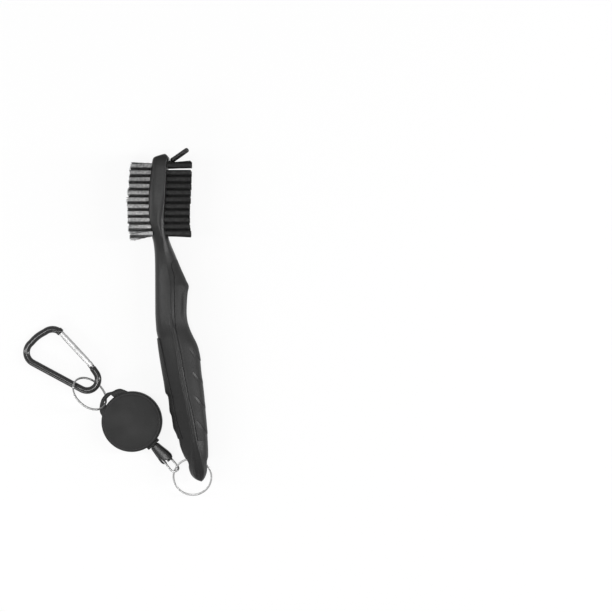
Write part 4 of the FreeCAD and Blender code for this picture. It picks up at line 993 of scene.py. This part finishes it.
def clipTurn():
    return (Matrix.Rotation(math.radians(clipForm["turn"]), 3, "Z")
            @ Matrix.Rotation(-math.radians(clipForm["lift"]), 3, "Y"))


def clipCentreline():
    spots, count = [], clipForm["bendSteps"]
    for (x, y), radius, start, stop in clipForm["bends"]:
        for step in range(count + 1):
            angle = math.radians(start + (stop - start) * step / count)
            spots.append(Vector((x + radius * math.cos(angle), y + radius * math.sin(angle), 0)))
    hinge = math.radians(clipForm["bends"][-1][3] + 90)
    run = Vector((math.cos(hinge), math.sin(hinge), 0))
    return spots + [spots[-1] + run * (clipForm["hingeRun"] - clipForm["tongueRun"])], run


def buildCarabiner():
    spots, run = clipCentreline()
    basis, foot, up = clipTurn(), Vector(clipForm["foot"]), Vector((0, 0, 1))
    fine = []
    for index, (first, second) in enumerate(zip(spots, spots[1:])):
        pieces = max(1, round((second - first).length / 1.0))
        # the straight run after the first bend swells a little
        swell = clipForm["swell"] if index == clipForm["bendSteps"] else 0.0
        outward = (second - first).normalized().cross(up)
        for step in range(pieces):
            push = outward * swell * math.sin(math.pi * step / pieces)
            fine.append(first.lerp(second, step / pieces) + push)
    fine.append(spots[-1])

    def put(spot):
        return (foot + basis @ spot) * mm

    def rod(points, radii):
        path, sides = [], clipForm["sides"]
        for index, spot in enumerate(points):
            after, before = points[min(index + 1, len(points) - 1)], points[max(index - 1, 0)]
            side = up.cross((after - before).normalized())
            angles = [turn * step / sides for step in range(sides)]
            path.append([put(spot + side * radii[index] * math.cos(a) + up * radii[index] * math.sin(a))
                         for a in angles])
        return tubeMesh(path)

    def tongue(spot, along, form):
        sideways = up.cross(along)
        return slab(put(spot - along * form["back"]), basis @ (along * form["long"]) * mm,
                    basis @ (sideways * form["wide"]) * mm,
                    basis @ (up * clipForm["tongueHalf"]) * mm, form["corner"])

    ahead, behind = (fine[1] - fine[0]).normalized(), (fine[-1] - fine[-2]).normalized()
    nose = [fine[0] + ahead * at for at, radius in clipForm["noseEnd"]]
    tail = [fine[-1] + behind * at for at, radius in clipForm["hingeEnd"]]
    radii = [radius for at, radius in clipForm["noseEnd"]] + [clipForm["rod"]] * len(fine)
    radii += [radius for at, radius in clipForm["hingeEnd"]]
    body = rod(nose + fine + tail, radii)
    collar = rod([fine[0] + ahead * at for at, radius in clipForm["collar"]],
                 [radius for at, radius in clipForm["collar"]])
    hinge = spots[-1] + run * clipForm["tongueRun"]
    hingeTongue = tongue(hinge, run, clipForm["hingeTongue"])
    noseTongue = tongue(spots[0], (spots[0] - hinge).normalized(), clipForm["noseTongue"])
    item = addMesh("carabiner", *shells([body, collar, hingeTongue, noseTongue]), "clip_black", "carabiner")
    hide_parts("carabiner_body")


buildCarabiner()


cordForm = dict(radius=0.45, rings=44, sides=10)


def buildCord():
    axis = Vector(joints["cord_pull"]["axis"]).normalized()
    outer, inner = axisSpan("cord_lead", axis)[:2]
    side = axis.orthogonal().normalized()
    up = axis.cross(side)
    rings = cordForm["rings"]
    path = [(outer.lerp(inner, index / rings), side, up) for index in range(rings + 1)]
    profile = roundProfile(cordForm["radius"] * mm, cordForm["radius"] * mm, cordForm["sides"])
    item = addMesh("pullCord", *tubeMesh(sweep(path, profile)), "cord")
    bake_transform(item)
    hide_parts("cord_lead")


buildCord()
print("hardware made")
